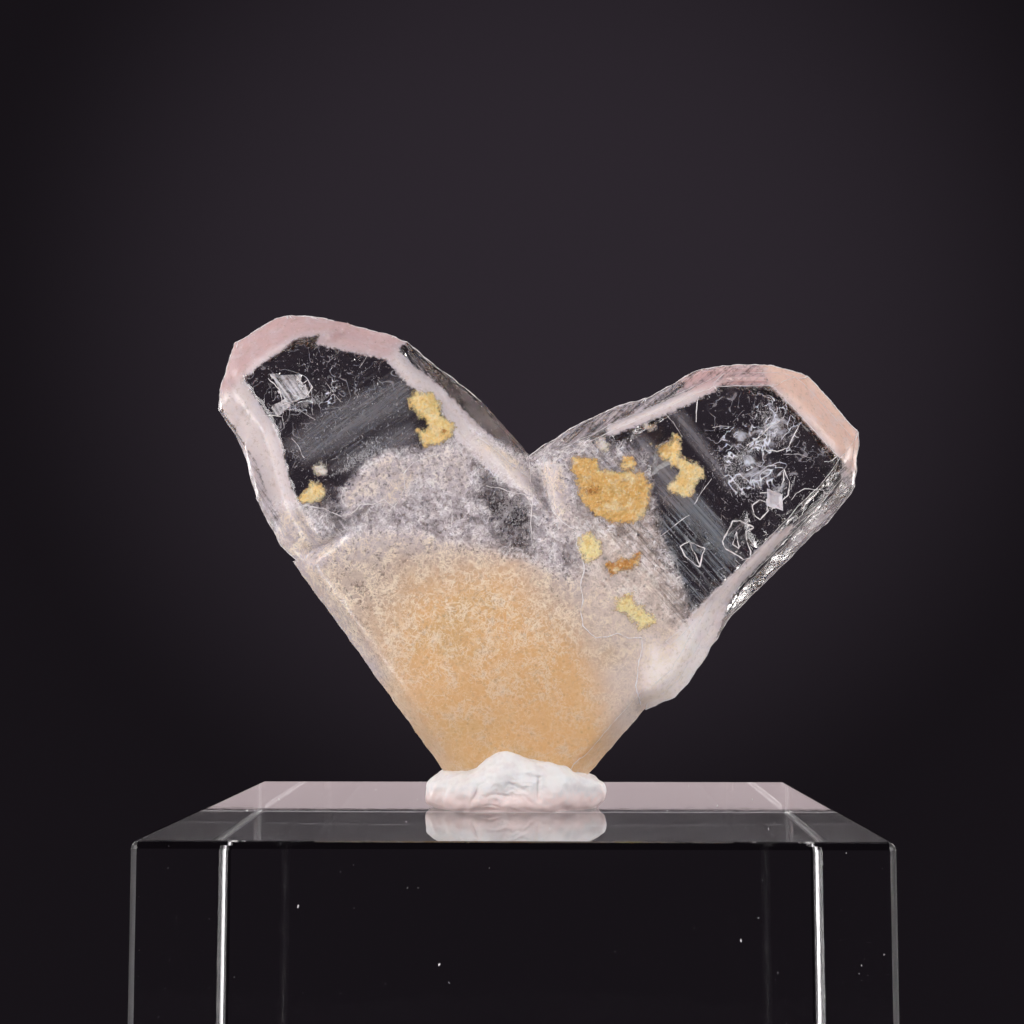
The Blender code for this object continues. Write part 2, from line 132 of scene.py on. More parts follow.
# Curling wisps of healed cracks just under the front faces: outline, weight, softness
WISPS = (
    (((14.6, 49.5), (15.2, 50.0), (16.1, 49.8), (16.7, 49.2), (16.6, 48.5), (15.7, 48.3),
     (14.8, 48.6)), 1.2, 0.5),
    (((12.7, 48.4), (14.0, 48.1), (14.7, 48.7), (16.0, 48.7), (17.1, 48.7), (16.8, 47.3),
      (16.0, 46.6), (14.7, 46.8), (13.4, 46.7), (12.4, 47.4)), 0.75, 0.7),
    (((12.6, 46.7), (15.2, 46.7), (16.1, 46.2), (15.6, 45.2), (14.6, 44.5), (13.3, 44.3),
     (12.6, 45.1)), 0.8, 0.7),
    (((11.7, 50.8), (15.9, 50.6), (19.2, 46.8), (16.5, 44.5), (13.8, 42.9), (12.2, 45.1),
     (11.1, 48.0)), 0.17, 0.8),
    (((-16.8, 51.4), (-13.3, 53.9), (-7.6, 52.5), (-6.6, 51.1), (-8.8, 49.0), (-11.3, 47.3),
      (-13.8, 45.4), (-14.9, 48.4)), 0.17, 0.8),
    (((-14.5, 51.1), (-13.1, 51.6), (-11.3, 51.6), (-10.8, 50.0), (-12.6, 49.3), (-14.1, 49.5)),
     0.4, 0.6),
)

# Fine growth lines across the right crystal: outline, weight, softness
HATCHED = (
    (((7.6, 41.9), (8.8, 43.2), (11.3, 44.4), (13.2, 41.6), (13.8, 39.6), (11.9, 37.2),
      (10.2, 35.6), (8.4, 38.0), (7.4, 40.4)), 1.0, 1.6),
    (((-14.2, 47.0), (-12.4, 49.0), (-9.2, 51.6), (-6.6, 51.4), (-6.0, 48.2), (-9.4, 45.6)), 0.55,
      1.4),
)

# Where the front is worn smooth though it is not milky, and the corner past which the left
# crystal's crown is worn on its outline and back as well
CROWN_X, CROWN_Z = -6.0, 54.0
WORN = (
    ((-16.7, 51.6), (-15.9, 51.6), (-14.4, 49.3), (-12.4, 47.3), (-10.7, 44.3), (-9.3, 42.3),
     (-10.4, 41.0), (-12.3, 41.2), (-13.7, 43.7), (-14.3, 46.5), (-15.5, 48.7)),
    ((0.4, 48.0), (2.6, 48.0), (2.9, 45.1), (2.9, 42.1), (0.6, 42.1)),
    ((-20.0, 50.0), (-18.4, 50.6), (-17.2, 52.4), (-14.8, 54.4), (-12.0, 54.9), (-8.6, 54.0),
     (-7.0, 53.2), (-6.4, 53.6), (-6.4, 57.0), (-20.0, 57.0)),
)

# Frosted parts of the surface, with bright bands painted in: outline, how frosted, softness of
# its edge and colour. Weight 1 is frosted right up to a crisp edge, and weight 0 only gives the
# milk there its colour. The white and snow bands are painted highlights, and the pink and salmon
# ones are painted reflections: over real frosting, they paint the studio light that the bevels
# refract and reflect.
# The pink and salmon colours are painted reflections and the white and snow ones painted highlights;
# the others are the crystal's own colours.
PAINTED_PINK_REFLECTION = (0.6, 0.42, 0.43)
PAINTED_SALMON_REFLECTION = (0.79, 0.55, 0.47)
PAINTED_WHITE_HIGHLIGHT = (0.78, 0.69, 0.69)
LILAC = (0.52, 0.46, 0.5)
BEIGE = (0.52, 0.41, 0.36)
TAN = (0.74, 0.455, 0.225)
OCHRE = (0.72, 0.42, 0.13)
PAINTED_SNOW_HIGHLIGHT = (0.97, 0.86, 0.85)
ASH = (0.54, 0.47, 0.51)
SHELL = (0.66, 0.54, 0.5)
FROST_AND_PAINTED_LIGHT = (
    (((-14.6, 43.6), (-10.6, 45.5), (-6.6, 47.5), (-3.0, 48.5), (2.6, 47.0), (4.1, 42.0),
      (2.0, 40.4), (-3.0, 41.6), (-8.0, 41.4), (-13.5, 39.6)), 0.0, 2.0, ASH),
    (((3.6, 43.0), (8.5, 43.5), (11.0, 38.0), (11.0, 34.0), (8.2, 30.6), (6.8, 28.0), (5.4, 31.0),
      (4.2, 36.0)), 0.0, 2.5, SHELL),
    (((-14.2, 43.0), (-12.6, 40.8), (-10.5, 37.0), (-8.0, 33.4), (-9.6, 31.6), (-14.6, 38.4),
      (-15.8, 42.0)), 0.9, 1.4, LILAC),
    (((-18.4, 50.4), (-18.0, 49.6), (-17.2, 48.5), (-16.6, 47.4), (-16.7, 46.4), (-17.8, 47.0),
      (-18.9, 49.4)), 0.58, 0.7, PAINTED_WHITE_HIGHLIGHT),
    (((-17.3, 48.7), (-16.6, 47.4), (-15.9, 46.4), (-15.5, 45.3), (-15.1, 44.2), (-14.2, 42.9),
      (-12.9, 41.7), (-12.4, 40.4), (-13.2, 39.2), (-15.2, 40.6), (-16.6, 43.4), (-17.4, 46.8)),
     0.66, 0.9, LILAC),
    (((-17.1, 51.5), (-16.4, 50.5), (-15.7, 49.4), (-15.0, 48.4), (-14.6, 47.4), (-14.3, 46.0),
      (-14.0, 44.8), (-13.4, 43.6), (-14.2, 42.5), (-15.1, 44.2), (-15.5, 45.3), (-15.9, 46.4),
      (-16.6, 47.4), (-17.2, 48.5), (-18.0, 49.6), (-18.5, 50.8), (-17.7, 51.2)), 1.0, 0.45,
      PAINTED_WHITE_HIGHLIGHT),
    (((-7.6, 54.2), (-5.6, 52.6), (-3.0, 50.4), (0.8, 46.6), (0.9, 45.6), (-0.2, 46.2),
      (-1.1, 47.2), (-2.1, 48.2), (-3.2, 49.3), (-4.4, 50.5), (-5.6, 51.6), (-6.7, 52.4),
      (-7.5, 53.2)), 0.34, 0.8, LILAC),
    (((-7.9, 52.7), (-7.1, 51.8), (-6.5, 51.1), (-5.8, 50.6), (-4.7, 50.2), (-4.2, 49.0),
      (-3.7, 47.9), (-2.8, 47.0), (-1.4, 45.7), (-0.3, 44.9), (0.5, 44.6), (0.6, 45.4),
      (-0.1, 46.0), (-1.1, 47.1), (-2.1, 48.1), (-3.2, 49.2), (-4.4, 50.4), (-5.6, 51.5),
      (-6.7, 52.3), (-7.5, 53.2)), 1.0, 0.5, PAINTED_WHITE_HIGHLIGHT),
    (((-17.1, 51.5), (-16.3, 52.0), (-15.5, 52.7), (-14.6, 53.2), (-13.9, 53.9), (-13.1, 54.2),
      (-11.6, 54.3), (-12.1, 53.7), (-10.6, 53.3), (-9.5, 53.1), (-8.6, 52.9), (-7.7, 52.7),
      (-7.5, 53.7), (-6.5, 54.4), (-10.3, 56.5), (-13.0, 57.0), (-16.8, 56.6), (-19.4, 54.3),
      (-19.4, 50.6), (-17.9, 50.8)), 1.0, 0.4, PAINTED_PINK_REFLECTION),
    (((0.6, 45.4), (3.0, 46.9), (6.2, 48.4), (9.2, 49.7), (11.1, 50.8), (11.1, 53.2), (8.0, 51.5),
      (4.0, 49.5), (0.6, 47.4)), 0.56, 0.8, LILAC),
    (((5.6, 48.0), (7.9, 48.9), (9.2, 49.4), (10.6, 50.0), (11.8, 50.7), (11.9, 51.2),
      (10.6, 50.6), (9.2, 50.0), (7.9, 49.4), (5.6, 48.5)), 1.0, 0.35, PAINTED_WHITE_HIGHLIGHT),
    (((10.8, 50.6), (15.9, 50.7), (17.0, 52.0), (16.2, 53.4), (11.1, 53.4), (9.4, 51.4)), 0.68,
      0.8, PAINTED_PINK_REFLECTION),
    (((-13.4, 43.5), (-11.3, 43.4), (-10.0, 42.5), (-9.7, 41.4), (-11.8, 40.6), (-13.4, 41.6)),
     0.5, 0.9, LILAC),
    (((16.0, 41.5), (17.6, 43.0), (18.8, 43.9), (20.2, 44.9), (20.9, 44.3), (19.0, 42.0),
     (16.8, 40.6)), 0.5, 0.6, LILAC),
    (((19.2, 46.6), (19.9, 46.2), (21.2, 46.4), (21.2, 44.6), (19.8, 44.9)), 0.6, 0.5, PAINTED_WHITE_HIGHLIGHT),
    (((15.4, 51.0), (16.0, 50.4), (17.3, 49.0), (18.3, 47.9), (19.3, 46.8), (19.9, 46.3),
      (20.6, 45.9), (21.6, 47.8), (20.6, 50.5), (18.6, 52.8), (16.7, 53.0), (15.1, 53.0)), 1.0,
      0.4, PAINTED_SALMON_REFLECTION),
    (((19.6, 45.2), (18.8, 44.1), (17.6, 43.1), (16.3, 41.8), (15.3, 40.7), (14.4, 39.6),
      (13.3, 38.3), (12.3, 36.6), (11.6, 34.7), (9.6, 31.6), (13.0, 32.6), (15.2, 37.0),
      (18.2, 40.2), (21.4, 44.4)), 0.44, 0.8, LILAC),
    (((16.5, 42.2), (15.6, 41.7), (14.7, 40.9), (13.9, 40.1), (12.9, 39.2), (12.0, 38.3),
      (11.1, 37.4), (9.9, 36.2), (8.9, 34.9), (11.7, 34.4), (11.9, 35.5), (12.3, 36.9),
      (12.8, 38.1), (13.5, 39.1), (14.4, 40.05), (15.3, 40.95)), 1.0, 0.5, PAINTED_SNOW_HIGHLIGHT),
    (((15.3, 40.7), (16.3, 41.6), (17.6, 42.9), (18.9, 44.1), (19.9, 45.1), (19.7, 45.3),
      (18.6, 44.3), (17.3, 43.1), (16.2, 42.0), (15.2, 41.2)), 0.62, 0.5, PAINTED_WHITE_HIGHLIGHT),
    (((7.5, 35.7), (8.1, 35.5), (9.1, 34.9), (9.9, 36.1), (11.1, 37.2), (12.2, 36.1), (12.2, 33.9),
      (10.4, 31.4), (8.1, 30.6), (7.4, 32.6)), 0.95, 0.9, PAINTED_SNOW_HIGHLIGHT),
)

# Kinds of facet that the skin keeps a note of: bevels, ledges, and pit walls from PIT_WALL up
BEVEL, LEDGE, PIT_WALL = 1, 2, 10

# Kinds of rim: the outline, other edges of the bevels, and the edges round the broad front faces
OUTLINE_RIM, OTHER_RIM, FRONT_RIM = 1, 2, 3
LINE_WIDTHS = {OUTLINE_RIM: 0.034, FRONT_RIM: 0.018}
FRONT_LINES_FROM = 3.0

# Pits with frosted walls: outline, the most that a wall measures in square millimetres, how frosted
PITS = (
    (((-15.4, 51.5), (-14.5, 52.2), (-12.4, 51.6), (-12.3, 50.4), (-13.2, 49.6), (-14.6, 49.5)),
      1.1, 0.62),
    (((8.0, 46.2), (8.6, 47.8), (9.8, 47.8), (9.9, 46.6), (9.0, 45.4), (8.2, 45.6)), 0.7, 0.5),
    (((12.9, 43.0), (14.4, 43.0), (14.4, 41.4), (13.9, 41.0), (12.8, 41.2)), 0.72, 0.42),
    (((10.2, 41.8), (11.6, 41.8), (11.7, 40.4), (10.2, 40.4)), 0.55, 0.45),
    (((14.8, 44.8), (16.3, 44.8), (16.3, 43.2), (14.8, 43.2)), 0.35, 0.9),
)
GREY_WHITE = (0.72, 0.68, 0.72)

# A depth that stands for well outside every crisply frosted band of painted highlight and painted
# reflection
FAR_OUTSIDE = -1.5

# Iron oxide films and grains on the front faces: outline, thickness, colour at edge and in middle
FILM_MARGIN = 0.4
YELLOW = (0.9, 0.6, 0.24)
LEMON = (0.95, 0.74, 0.36)
RUST = (0.5, 0.2, 0.03)
CREAM = (0.95, 0.77, 0.5)
PALE = (0.76, 0.69, 0.67)
STAINS = {
    "stain_left_upper": (
        ((-6.9, 50.2), (-6.2, 50.75), (-5.1, 50.75), (-4.5, 49.9), (-4.4, 49.1), (-3.6, 48.8),
         (-3.7, 47.8), (-4.5, 47.2), (-5.7, 46.95), (-6.15, 47.7), (-6.35, 48.3), (-5.6, 48.45),
         (-6.0, 48.8), (-6.6, 49.45)), 0.08, LEMON, YELLOW),
    "stain_left_spot": (
        ((-4.9, 48.3), (-4.5, 48.45), (-4.2, 48.2), (-4.3, 47.8), (-4.7, 47.8)), 0.2, RUST, RUST),
    "stain_left_lower": (
        ((-13.6, 44.1), (-13.0, 44.7), (-12.7, 45.2), (-11.8, 45.1), (-11.5, 44.5), (-11.8, 43.6),
         (-12.9, 43.5), (-13.4, 43.6)), 0.07, CREAM, YELLOW),
    "lump_left": (
        ((-12.65, 46.0), (-12.1, 46.5), (-11.5, 46.3), (-11.4, 45.6), (-11.8, 45.2), (-12.4, 45.3)),
        0.1, PALE, PALE),
    "stain_ochre": (
        ((3.1, 46.7), (4.0, 46.8), (5.0, 46.5), (5.15, 45.9), (6.0, 45.8), (6.7, 45.9),
         (7.8, 45.6), (8.2, 44.8), (8.1, 43.5), (7.7, 42.6), (6.4, 42.2), (5.3, 42.5), (4.2, 43.1),
         (3.6, 43.8), (3.4, 45.1), (3.1, 45.6)), 0.1, YELLOW, OCHRE),
    "stain_dome": (
        ((6.0, 45.9), (6.25, 46.6), (6.7, 46.8), (7.25, 46.5), (7.4, 46.0), (7.0, 45.6),
         (6.3, 45.6)), 0.17, OCHRE, YELLOW),
    "stain_streak": (
        ((3.4, 45.1), (3.8, 44.9), (4.4, 44.75), (5.0, 44.8), (5.1, 44.4), (4.7, 44.2),
         (4.3, 44.2), (3.7, 44.5)), 0.22, RUST, RUST),
    "lump_ochre": (
        ((4.5, 47.4), (4.9, 47.9), (5.5, 47.8), (5.8, 47.2), (5.6, 46.6), (4.9, 46.7)),
        0.08, PALE, PALE),
    "lump_pale": (
        ((7.5, 48.7), (8.5, 48.7), (8.5, 48.1), (7.9, 47.9), (7.5, 48.2)), 0.08, PALE, PALE),
    "stain_zigzag": (
        ((7.95, 47.3), (9.0, 47.5), (9.3, 48.3), (10.05, 47.8), (10.05, 46.8), (10.6, 46.35),
         (11.4, 46.0), (11.4, 45.1), (10.8, 44.7), (10.6, 43.75), (9.2, 44.1), (8.9, 44.65),
         (9.5, 45.6), (9.0, 46.15), (8.4, 46.6)), 0.08, CREAM, YELLOW),
    "stain_pale": (
        ((3.4, 41.3), (3.75, 42.1), (4.7, 42.0), (5.25, 41.5), (5.25, 40.7), (4.9, 40.15),
         (4.1, 39.9), (3.5, 40.6)), 0.06, CREAM, LEMON),
    "stain_rust": (
        ((5.0, 39.7), (5.1, 40.3), (5.9, 40.5), (6.6, 40.55), (7.35, 40.95), (7.65, 40.5),
         (7.5, 39.9), (6.9, 39.5), (6.2, 39.35), (5.7, 39.1)), 0.1, OCHRE, RUST),
    "stain_lemon": (
        ((5.7, 38.1), (7.1, 38.5), (7.35, 37.7), (8.25, 37.25), (8.7, 36.3), (7.3, 35.9),
         (6.4, 36.85), (5.7, 37.15)), 0.07, CREAM, LEMON),
}

# White growth lines and pit rims on the front faces: points (x, z), then thickness before the share
LINE_SHARE = 0.62
LINE_STEP = 0.15
GROWTH_LINES = (
    (((3.7, 41.8), (3.55, 41.2), (3.9, 40.5), (4.05, 39.7), (3.8, 38.8), (3.95, 37.9), (3.8, 37.1),
      (3.95, 36.3), (4.7, 35.6), (5.4, 35.65), (6.0, 35.9), (6.7, 35.6), (7.45, 35.65), (7.5, 34.9),
      (7.2, 33.8), (7.1, 32.7), (7.4, 31.6)), 0.06),
    (((12.3, 41.4), (12.75, 42.1), (12.95, 42.6), (13.35, 42.65), (13.8, 42.45), (14.2, 42.2),
      (13.8, 42.0), (13.8, 41.4), (14.0, 40.8), (14.0, 40.4), (13.6, 40.3), (13.0, 40.65),
      (12.5, 40.95), (12.3, 41.4)), 0.07),
    (((13.2, 42.0), (12.95, 41.2), (13.3, 40.95), (13.2, 42.0)), 0.045),
    (((9.8, 41.1), (10.35, 41.4), (10.8, 41.2), (11.25, 41.0), (11.1, 40.45), (10.95, 39.85),
      (10.6, 40.05), (10.1, 40.5), (9.8, 41.1)), 0.055),
    (((10.4, 41.3), (10.55, 40.85), (10.95, 40.0), (11.2, 40.9)), 0.04),
    (((14.2, 43.0), (14.15, 43.6), (14.6, 43.9), (15.05, 43.75), (15.05, 43.2), (14.6, 42.65),
      (14.2, 43.0)), 0.055),
    (((14.6, 44.3), (15.25, 44.3), (15.75, 44.4), (16.05, 45.1), (16.05, 45.75), (16.4, 44.95),
      (16.3, 44.15), (15.75, 43.7), (15.25, 43.25)), 0.045),
    (((16.5, 43.9), (16.8, 44.3), (17.3, 44.55), (18.1, 44.5), (18.8, 44.35)), 0.035),
    (((18.5, 46.2), (19.0, 46.25), (19.25, 46.5)), 0.04),
    (((10.95, 50.2), (10.85, 49.4), (10.8, 48.6)), 0.04),
    (((10.7, 43.65), (11.1, 44.4), (11.7, 45.15)), 0.03),
    (((8.6, 41.7), (9.4, 42.3), (10.35, 43.0)), 0.035),
    (((16.3, 42.0), (17.0, 42.5), (17.65, 43.0), (18.3, 43.35), (19.1, 43.35)), 0.035),
    (((1.8, 45.7), (2.0, 46.05), (2.9, 46.05), (3.1, 45.7)), 0.04),
    (((1.8, 44.6), (2.1, 43.4), (2.7, 42.6), (3.5, 42.1)), 0.045),
    (((-13.7, 43.4), (-12.9, 43.65), (-11.8, 43.45), (-10.7, 42.95), (-10.0, 43.15), (-9.5, 43.7),
      (-8.8, 43.65), (-8.1, 44.0), (-7.5, 43.5), (-7.1, 44.1), (-6.8, 44.7), (-6.9, 45.6),
      (-6.3, 46.2), (-5.35, 46.6), (-4.95, 46.75)), 0.055),
    (((-13.75, 47.75), (-13.35, 47.3), (-12.95, 46.5)), 0.035),
    (((-14.2, 49.75), (-14.3, 49.0), (-14.2, 48.3)), 0.025),
    (((-15.6, 49.2), (-14.75, 49.1), (-14.3, 49.05)), 0.03),
    (((-14.2, 49.5), (-13.2, 49.4), (-12.3, 48.85)), 0.022),
    (((-11.75, 51.2), (-11.3, 50.65), (-10.75, 49.95)), 0.022),
    (((-9.65, 52.0), (-9.25, 52.6), (-9.1, 53.05)), 0.022),
    (((-10.55, 44.7), (-10.7, 44.1), (-10.55, 43.7)), 0.03),
    (((-4.0, 47.85), (-3.55, 47.15), (-3.15, 46.45)), 0.045),
    (((-4.05, 44.0), (-3.95, 43.3), (-4.0, 42.3)), 0.035),
    (((-15.2, 51.4), (-14.5, 50.7), (-14.3, 49.8), (-13.5, 50.0), (-12.95, 50.2), (-12.5, 50.8),
      (-12.8, 51.3), (-13.1, 51.1), (-13.5, 51.4)), 0.05),
    (((-2.75, 48.0), (-2.05, 47.6), (-1.25, 47.0), (-0.4, 46.2), (0.7, 45.4)), 0.05),
    (((-1.9, 44.8), (-1.1, 44.7), (-0.3, 44.4), (0.4, 44.3), (0.7, 44.0)), 0.04),
    (((0.7, 46.5), (0.8, 45.1), (0.9, 43.7), (0.8, 42.3), (0.9, 41.2)), 0.04),
    (((13.85, 47.19), (14.64, 47.71), (15.3, 48.37), (15.83, 48.63)), 0.05),
    (((15.02, 46.92), (15.67, 46.79), (16.33, 47.05), (16.66, 47.71), (17, 48.36)), 0.05),
    (((16.06, 46.65), (16.97, 46.65), (17.75, 46.39)), 0.02),
    (((11.77, 48.25), (12.3, 48.38), (12.95, 48.31)), 0.02),
    (((8.64, 49.45), (9.42, 48.65), (9.94, 47.72)), 0.02),
)

# Flakes inside the crystals, in groups. The first number is how many, and the last three are the
# smallest and the largest flake and how much longer than wide one can be. Between them stands where
# they lie: specks and needles in the tips by depth, bearing, half width and how near and far, and
# healed cracks by centre, the ways along and up, length, height and bend
TIPS = (
    (2000, 2.2, LEFT_AXIS, 8.5, 16.0, 31.0, 0.014, 0.06, 1.2),
    (1800, 2.2, RIGHT_AXIS, 8.5, 10.0, 28.0, 0.014, 0.05, 1.2),
    (160, 2.0, LEFT_AXIS, 7.0, 18.0, 30.0, 0.02, 0.03, 16.0),
    (160, 2.0, RIGHT_AXIS, 8.0, 12.0, 27.0, 0.02, 0.03, 16.0),
)
CLOUD = (
    (2400, (15.6, -0.8, 48.6), (0.7, 0.3, -0.6), (0.5, 0.6, 0.7), 1.5, 1.6, 0.3, 0.012, 0.05, 1.5),
    (1500, (14.0, -1.0, 46.9), (0.8, 0.2, 0.6), (-0.3, 0.7, 0.6), 2.2, 1.0, 0.3, 0.012, 0.045, 2.5),
    (1000, (13.4, 0.2, 45.4), (0.7, 0.1, -0.7), (0.5, 0.5, 0.6), 1.8, 1.3, 0.2, 0.012, 0.04, 3.0),
    (300, (15.7, -1.2, 44.4), (0.5, 0.1, 0.9), (0.9, 0.3, -0.4), 0.9, 0.4, 0.3, 0.02, 0.06, 2.0),
    (500, (-12.8, -0.9, 50.0), (0.9, 0.2, 0.4), (0.2, 0.9, 0.4), 1.9, 1.0, 0.3, 0.02, 0.05, 3.0),
    (500, (-9.5, -0.4, 46.6), (0.8, 0.2, 0.55), (-0.3, 0.8, 0.5), 2.2, 0.9, 0.3, 0.02, 0.07, 3.0),
)
SEAM = (
    (1500, (-0.3, -0.6, 43.6), (0.1, 0.4, 1.0), (1.0, 0.3, 0.0), 3.4, 2.2, 0.2, 0.02, 0.08, 2.0),
    (700, (-6.4, -0.4, 43.8), (0.9, 0.2, 0.3), (-0.2, 0.8, 0.8), 4.2, 1.8, 0.2, 0.02, 0.07, 2.0),
    (700, (3.4, -0.4, 44.6), (0.7, 0.2, 0.5), (-0.3, 0.8, 0.8), 2.6, 1.8, 0.2, 0.02, 0.07, 2.0),
)
FULL_TURN = 6.28

# Creases in the front of the putty, in x and in height over the block: ends, width and depth
FOLDS = (
    ((-2.55, 0.5), (-2.4, 1.6), 0.16, 0.24), ((-2.3, 1.75), (-1.7, 2.1), 0.16, 0.14),
    ((1.4, 0.5), (1.15, 1.8), 0.15, 0.26), ((1.1, 1.9), (0.2, 2.1), 0.2, 0.16),
    ((-1.7, 1.0), (-0.5, 0.8), 0.1, 0.12), ((-0.3, 1.5), (0.6, 1.25), 0.12, 0.12),
    ((0.3, 0.9), (0.9, 0.4), 0.09, 0.1), ((-1.9, 0.45), (-1.2, 0.3), 0.08, 0.1),
)

# Lights: place, size, power before the share of all lights, and colour
LIGHTS = {
    "softbox_front_left": ((-230.0, -190.0, 190.0), (190.0, 190.0), 11.5, (1.0, 0.97, 0.95)),
    "softbox_front_right": ((250.0, -170.0, 170.0), (190.0, 190.0), 9.0, (1.0, 0.98, 0.98)),
    "softbox_low_left": ((-220.0, -120.0, -40.0), (120.0, 120.0), 4.6, (1.0, 0.96, 0.96)),
    "softbox_low_right": ((220.0, -110.0, -40.0), (120.0, 120.0), 2.4, (1.0, 0.96, 0.96)),
    "softbox_back_left": ((-200.0, 170.0, 90.0), (130.0, 130.0), 3.5, (1.0, 0.96, 0.95)),
    "softbox_back_right": ((200.0, 170.0, 90.0), (130.0, 130.0), 3.5, (1.0, 0.95, 0.92)),
    "softbox_top": ((0.0, 130.0, 300.0), (200.0, 200.0), 6.0, (1.0, 0.98, 0.98)),
    "strip_left": ((-88.0, 190.0, -22.0), (66.0, 80.0), 0.065, (1.0, 0.96, 0.96)),
    "strip_right": ((88.0, 190.0, -22.0), (66.0, 80.0), 0.065, (1.0, 0.96, 0.96)),
    "strip_behind": ((0.0, 195.0, 37.5), (170.0, 13.0), 0.06, (1.0, 0.8, 0.83)),
}
LIGHTS_AIM = (0.0, 0.0, 0.042)

# The camera of the photograph
CAMERA_PLACE = (1.756, -102.87, 34.925)
CAMERA_TURN = (math.radians(94.7), 0.0, math.radians(1.186))

# How bright the dark room is at its edge, against straight ahead, and the cosines it fades between
ROOM_EDGE_SHARE, ROOM_FADE = 0.33, (0.944, 1.0)


# Geometry helpers


def in_plane(bearing):
    """A way in the twin's plane, from a bearing."""
    return Vector((math.cos(bearing), 0.0, math.sin(bearing)))


def signed_depth(x, z, outline):
    """How far inside an outline each point lies, and less than zero outside it."""
    count = len(outline)
    nearest = np.full(x.shape, 1e9)
    inside = np.zeros(x.shape, bool)
    for index in range(count):
        ax, az = outline[index]
        bx, bz = outline[(index + 1) % count]
        ex, ez = bx - ax, bz - az
        along = np.clip(((x - ax) * ex + (z - az) * ez) / (ex * ex + ez * ez), 0.0, 1.0)
        nearest = np.minimum(nearest, np.hypot(x - ax - along * ex, z - az - along * ez))
        if az != bz:
            crosses = (az > z) != (bz > z)
            inside ^= crosses & (x < ax + (z - az) * ex / ez)
    return np.where(inside, nearest, -nearest)


def smooth(value):
    value = np.clip(value, 0.0, 1.0)
    return value * value * (3.0 - 2.0 * value)


def zone(x, z, outline, softness):
    """1 well inside an outline and 0 well outside it."""
    return smooth(signed_depth(x, z, outline) / softness + 0.5)


def strongest(x, z, zones):
    """The most that any zone of a table gives each place."""
    shares = [weight * zone(x, z, outline, softness) for outline, weight, softness in zones]
    return np.max(shares, 0)


def overlaid(colours, share, colour):
    """Colours, one in a row, with another one laid over them by a share for each."""
    return colours * (1.0 - share[:, None]) + np.array(colour) * share[:, None]


def new_piece(name, bm, material):
    """A finished mesh object at the origin, from a bmesh in millimetres."""
    bmesh.ops.scale(bm, vec=(MM, MM, MM), verts=bm.verts)
    mesh = bpy.data.meshes.new(name)
    bm.to_mesh(mesh)
    bm.free()
    piece = bpy.data.objects.new(name, mesh)
    bpy.context.scene.collection.objects.link(piece)
    mesh.materials.append(material)
    return piece


def put_attribute(mesh, name, kind, domain, values):
    attribute = mesh.attributes.new(name, kind, domain)
    field = "color" if kind == "FLOAT_COLOR" else "value"
    attribute.data.foreach_set(field, np.ascontiguousarray(values, np.float32).ravel())


def set_piece(piece, replaces=()):
    """Attaches a piece to the root body and hides the CAD parts it stands for."""
    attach(piece, "root")
    if replaces:
        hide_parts(*replaces)


def in_millimetres(mesh):
    """A bmesh copy of a mesh, in millimetres."""
    bm = bmesh.new()
    bm.from_mesh(mesh)
    bmesh.ops.scale(bm, vec=(1.0 / MM, 1.0 / MM, 1.0 / MM), verts=bm.verts)
    return bm


def shade_smooth(bm):
    for face in bm.faces:
        face.smooth = True


def merged_copy(node):
    """A merged copy of a CAD node in millimetres, with each flat face whole."""
    bm = in_millimetres(node.data)
    bmesh.ops.remove_doubles(bm, verts=bm.verts, dist=0.001)
    bmesh.ops.dissolve_limit(bm, angle_limit=math.radians(0.6), verts=bm.verts, edges=bm.edges)
    return bm


def cut_to_grid(bm, low, high, cell):
    """Cuts every face where it crosses a grid of square cells, and leaves triangles."""
    for axis in range(3):
        normal = Vector([float(axis == other) for other in range(3)])
        count = int((high[axis] - low[axis]) / cell)
        for index in range(1, count + 1):
            place = normal * (low[axis] + (index - 0.37) * cell)
            geometry = bm.verts[:] + bm.edges[:] + bm.faces[:]
            bmesh.ops.bisect_plane(bm, geom=geometry, dist=1e-4, plane_co=place, plane_no=normal)
    bmesh.ops.triangulate(bm, faces=bm.faces)


def nearest_edges(bm, accepts, spacing):
    """A tree of points along the edges that are accepted."""
    points = []
    for edge in bm.edges:
        if edge.is_manifold and accepts(edge):
            a, b = (vert.co for vert in edge.verts)
            steps = max(1, int((b - a).length / spacing))
            points.extend(a.lerp(b, step / steps) for step in range(steps + 1))
    tree = KDTree(len(points))
    for index, point in enumerate(points):
        tree.insert(point, index)
    tree.balance()
    return tree


# Node helpers


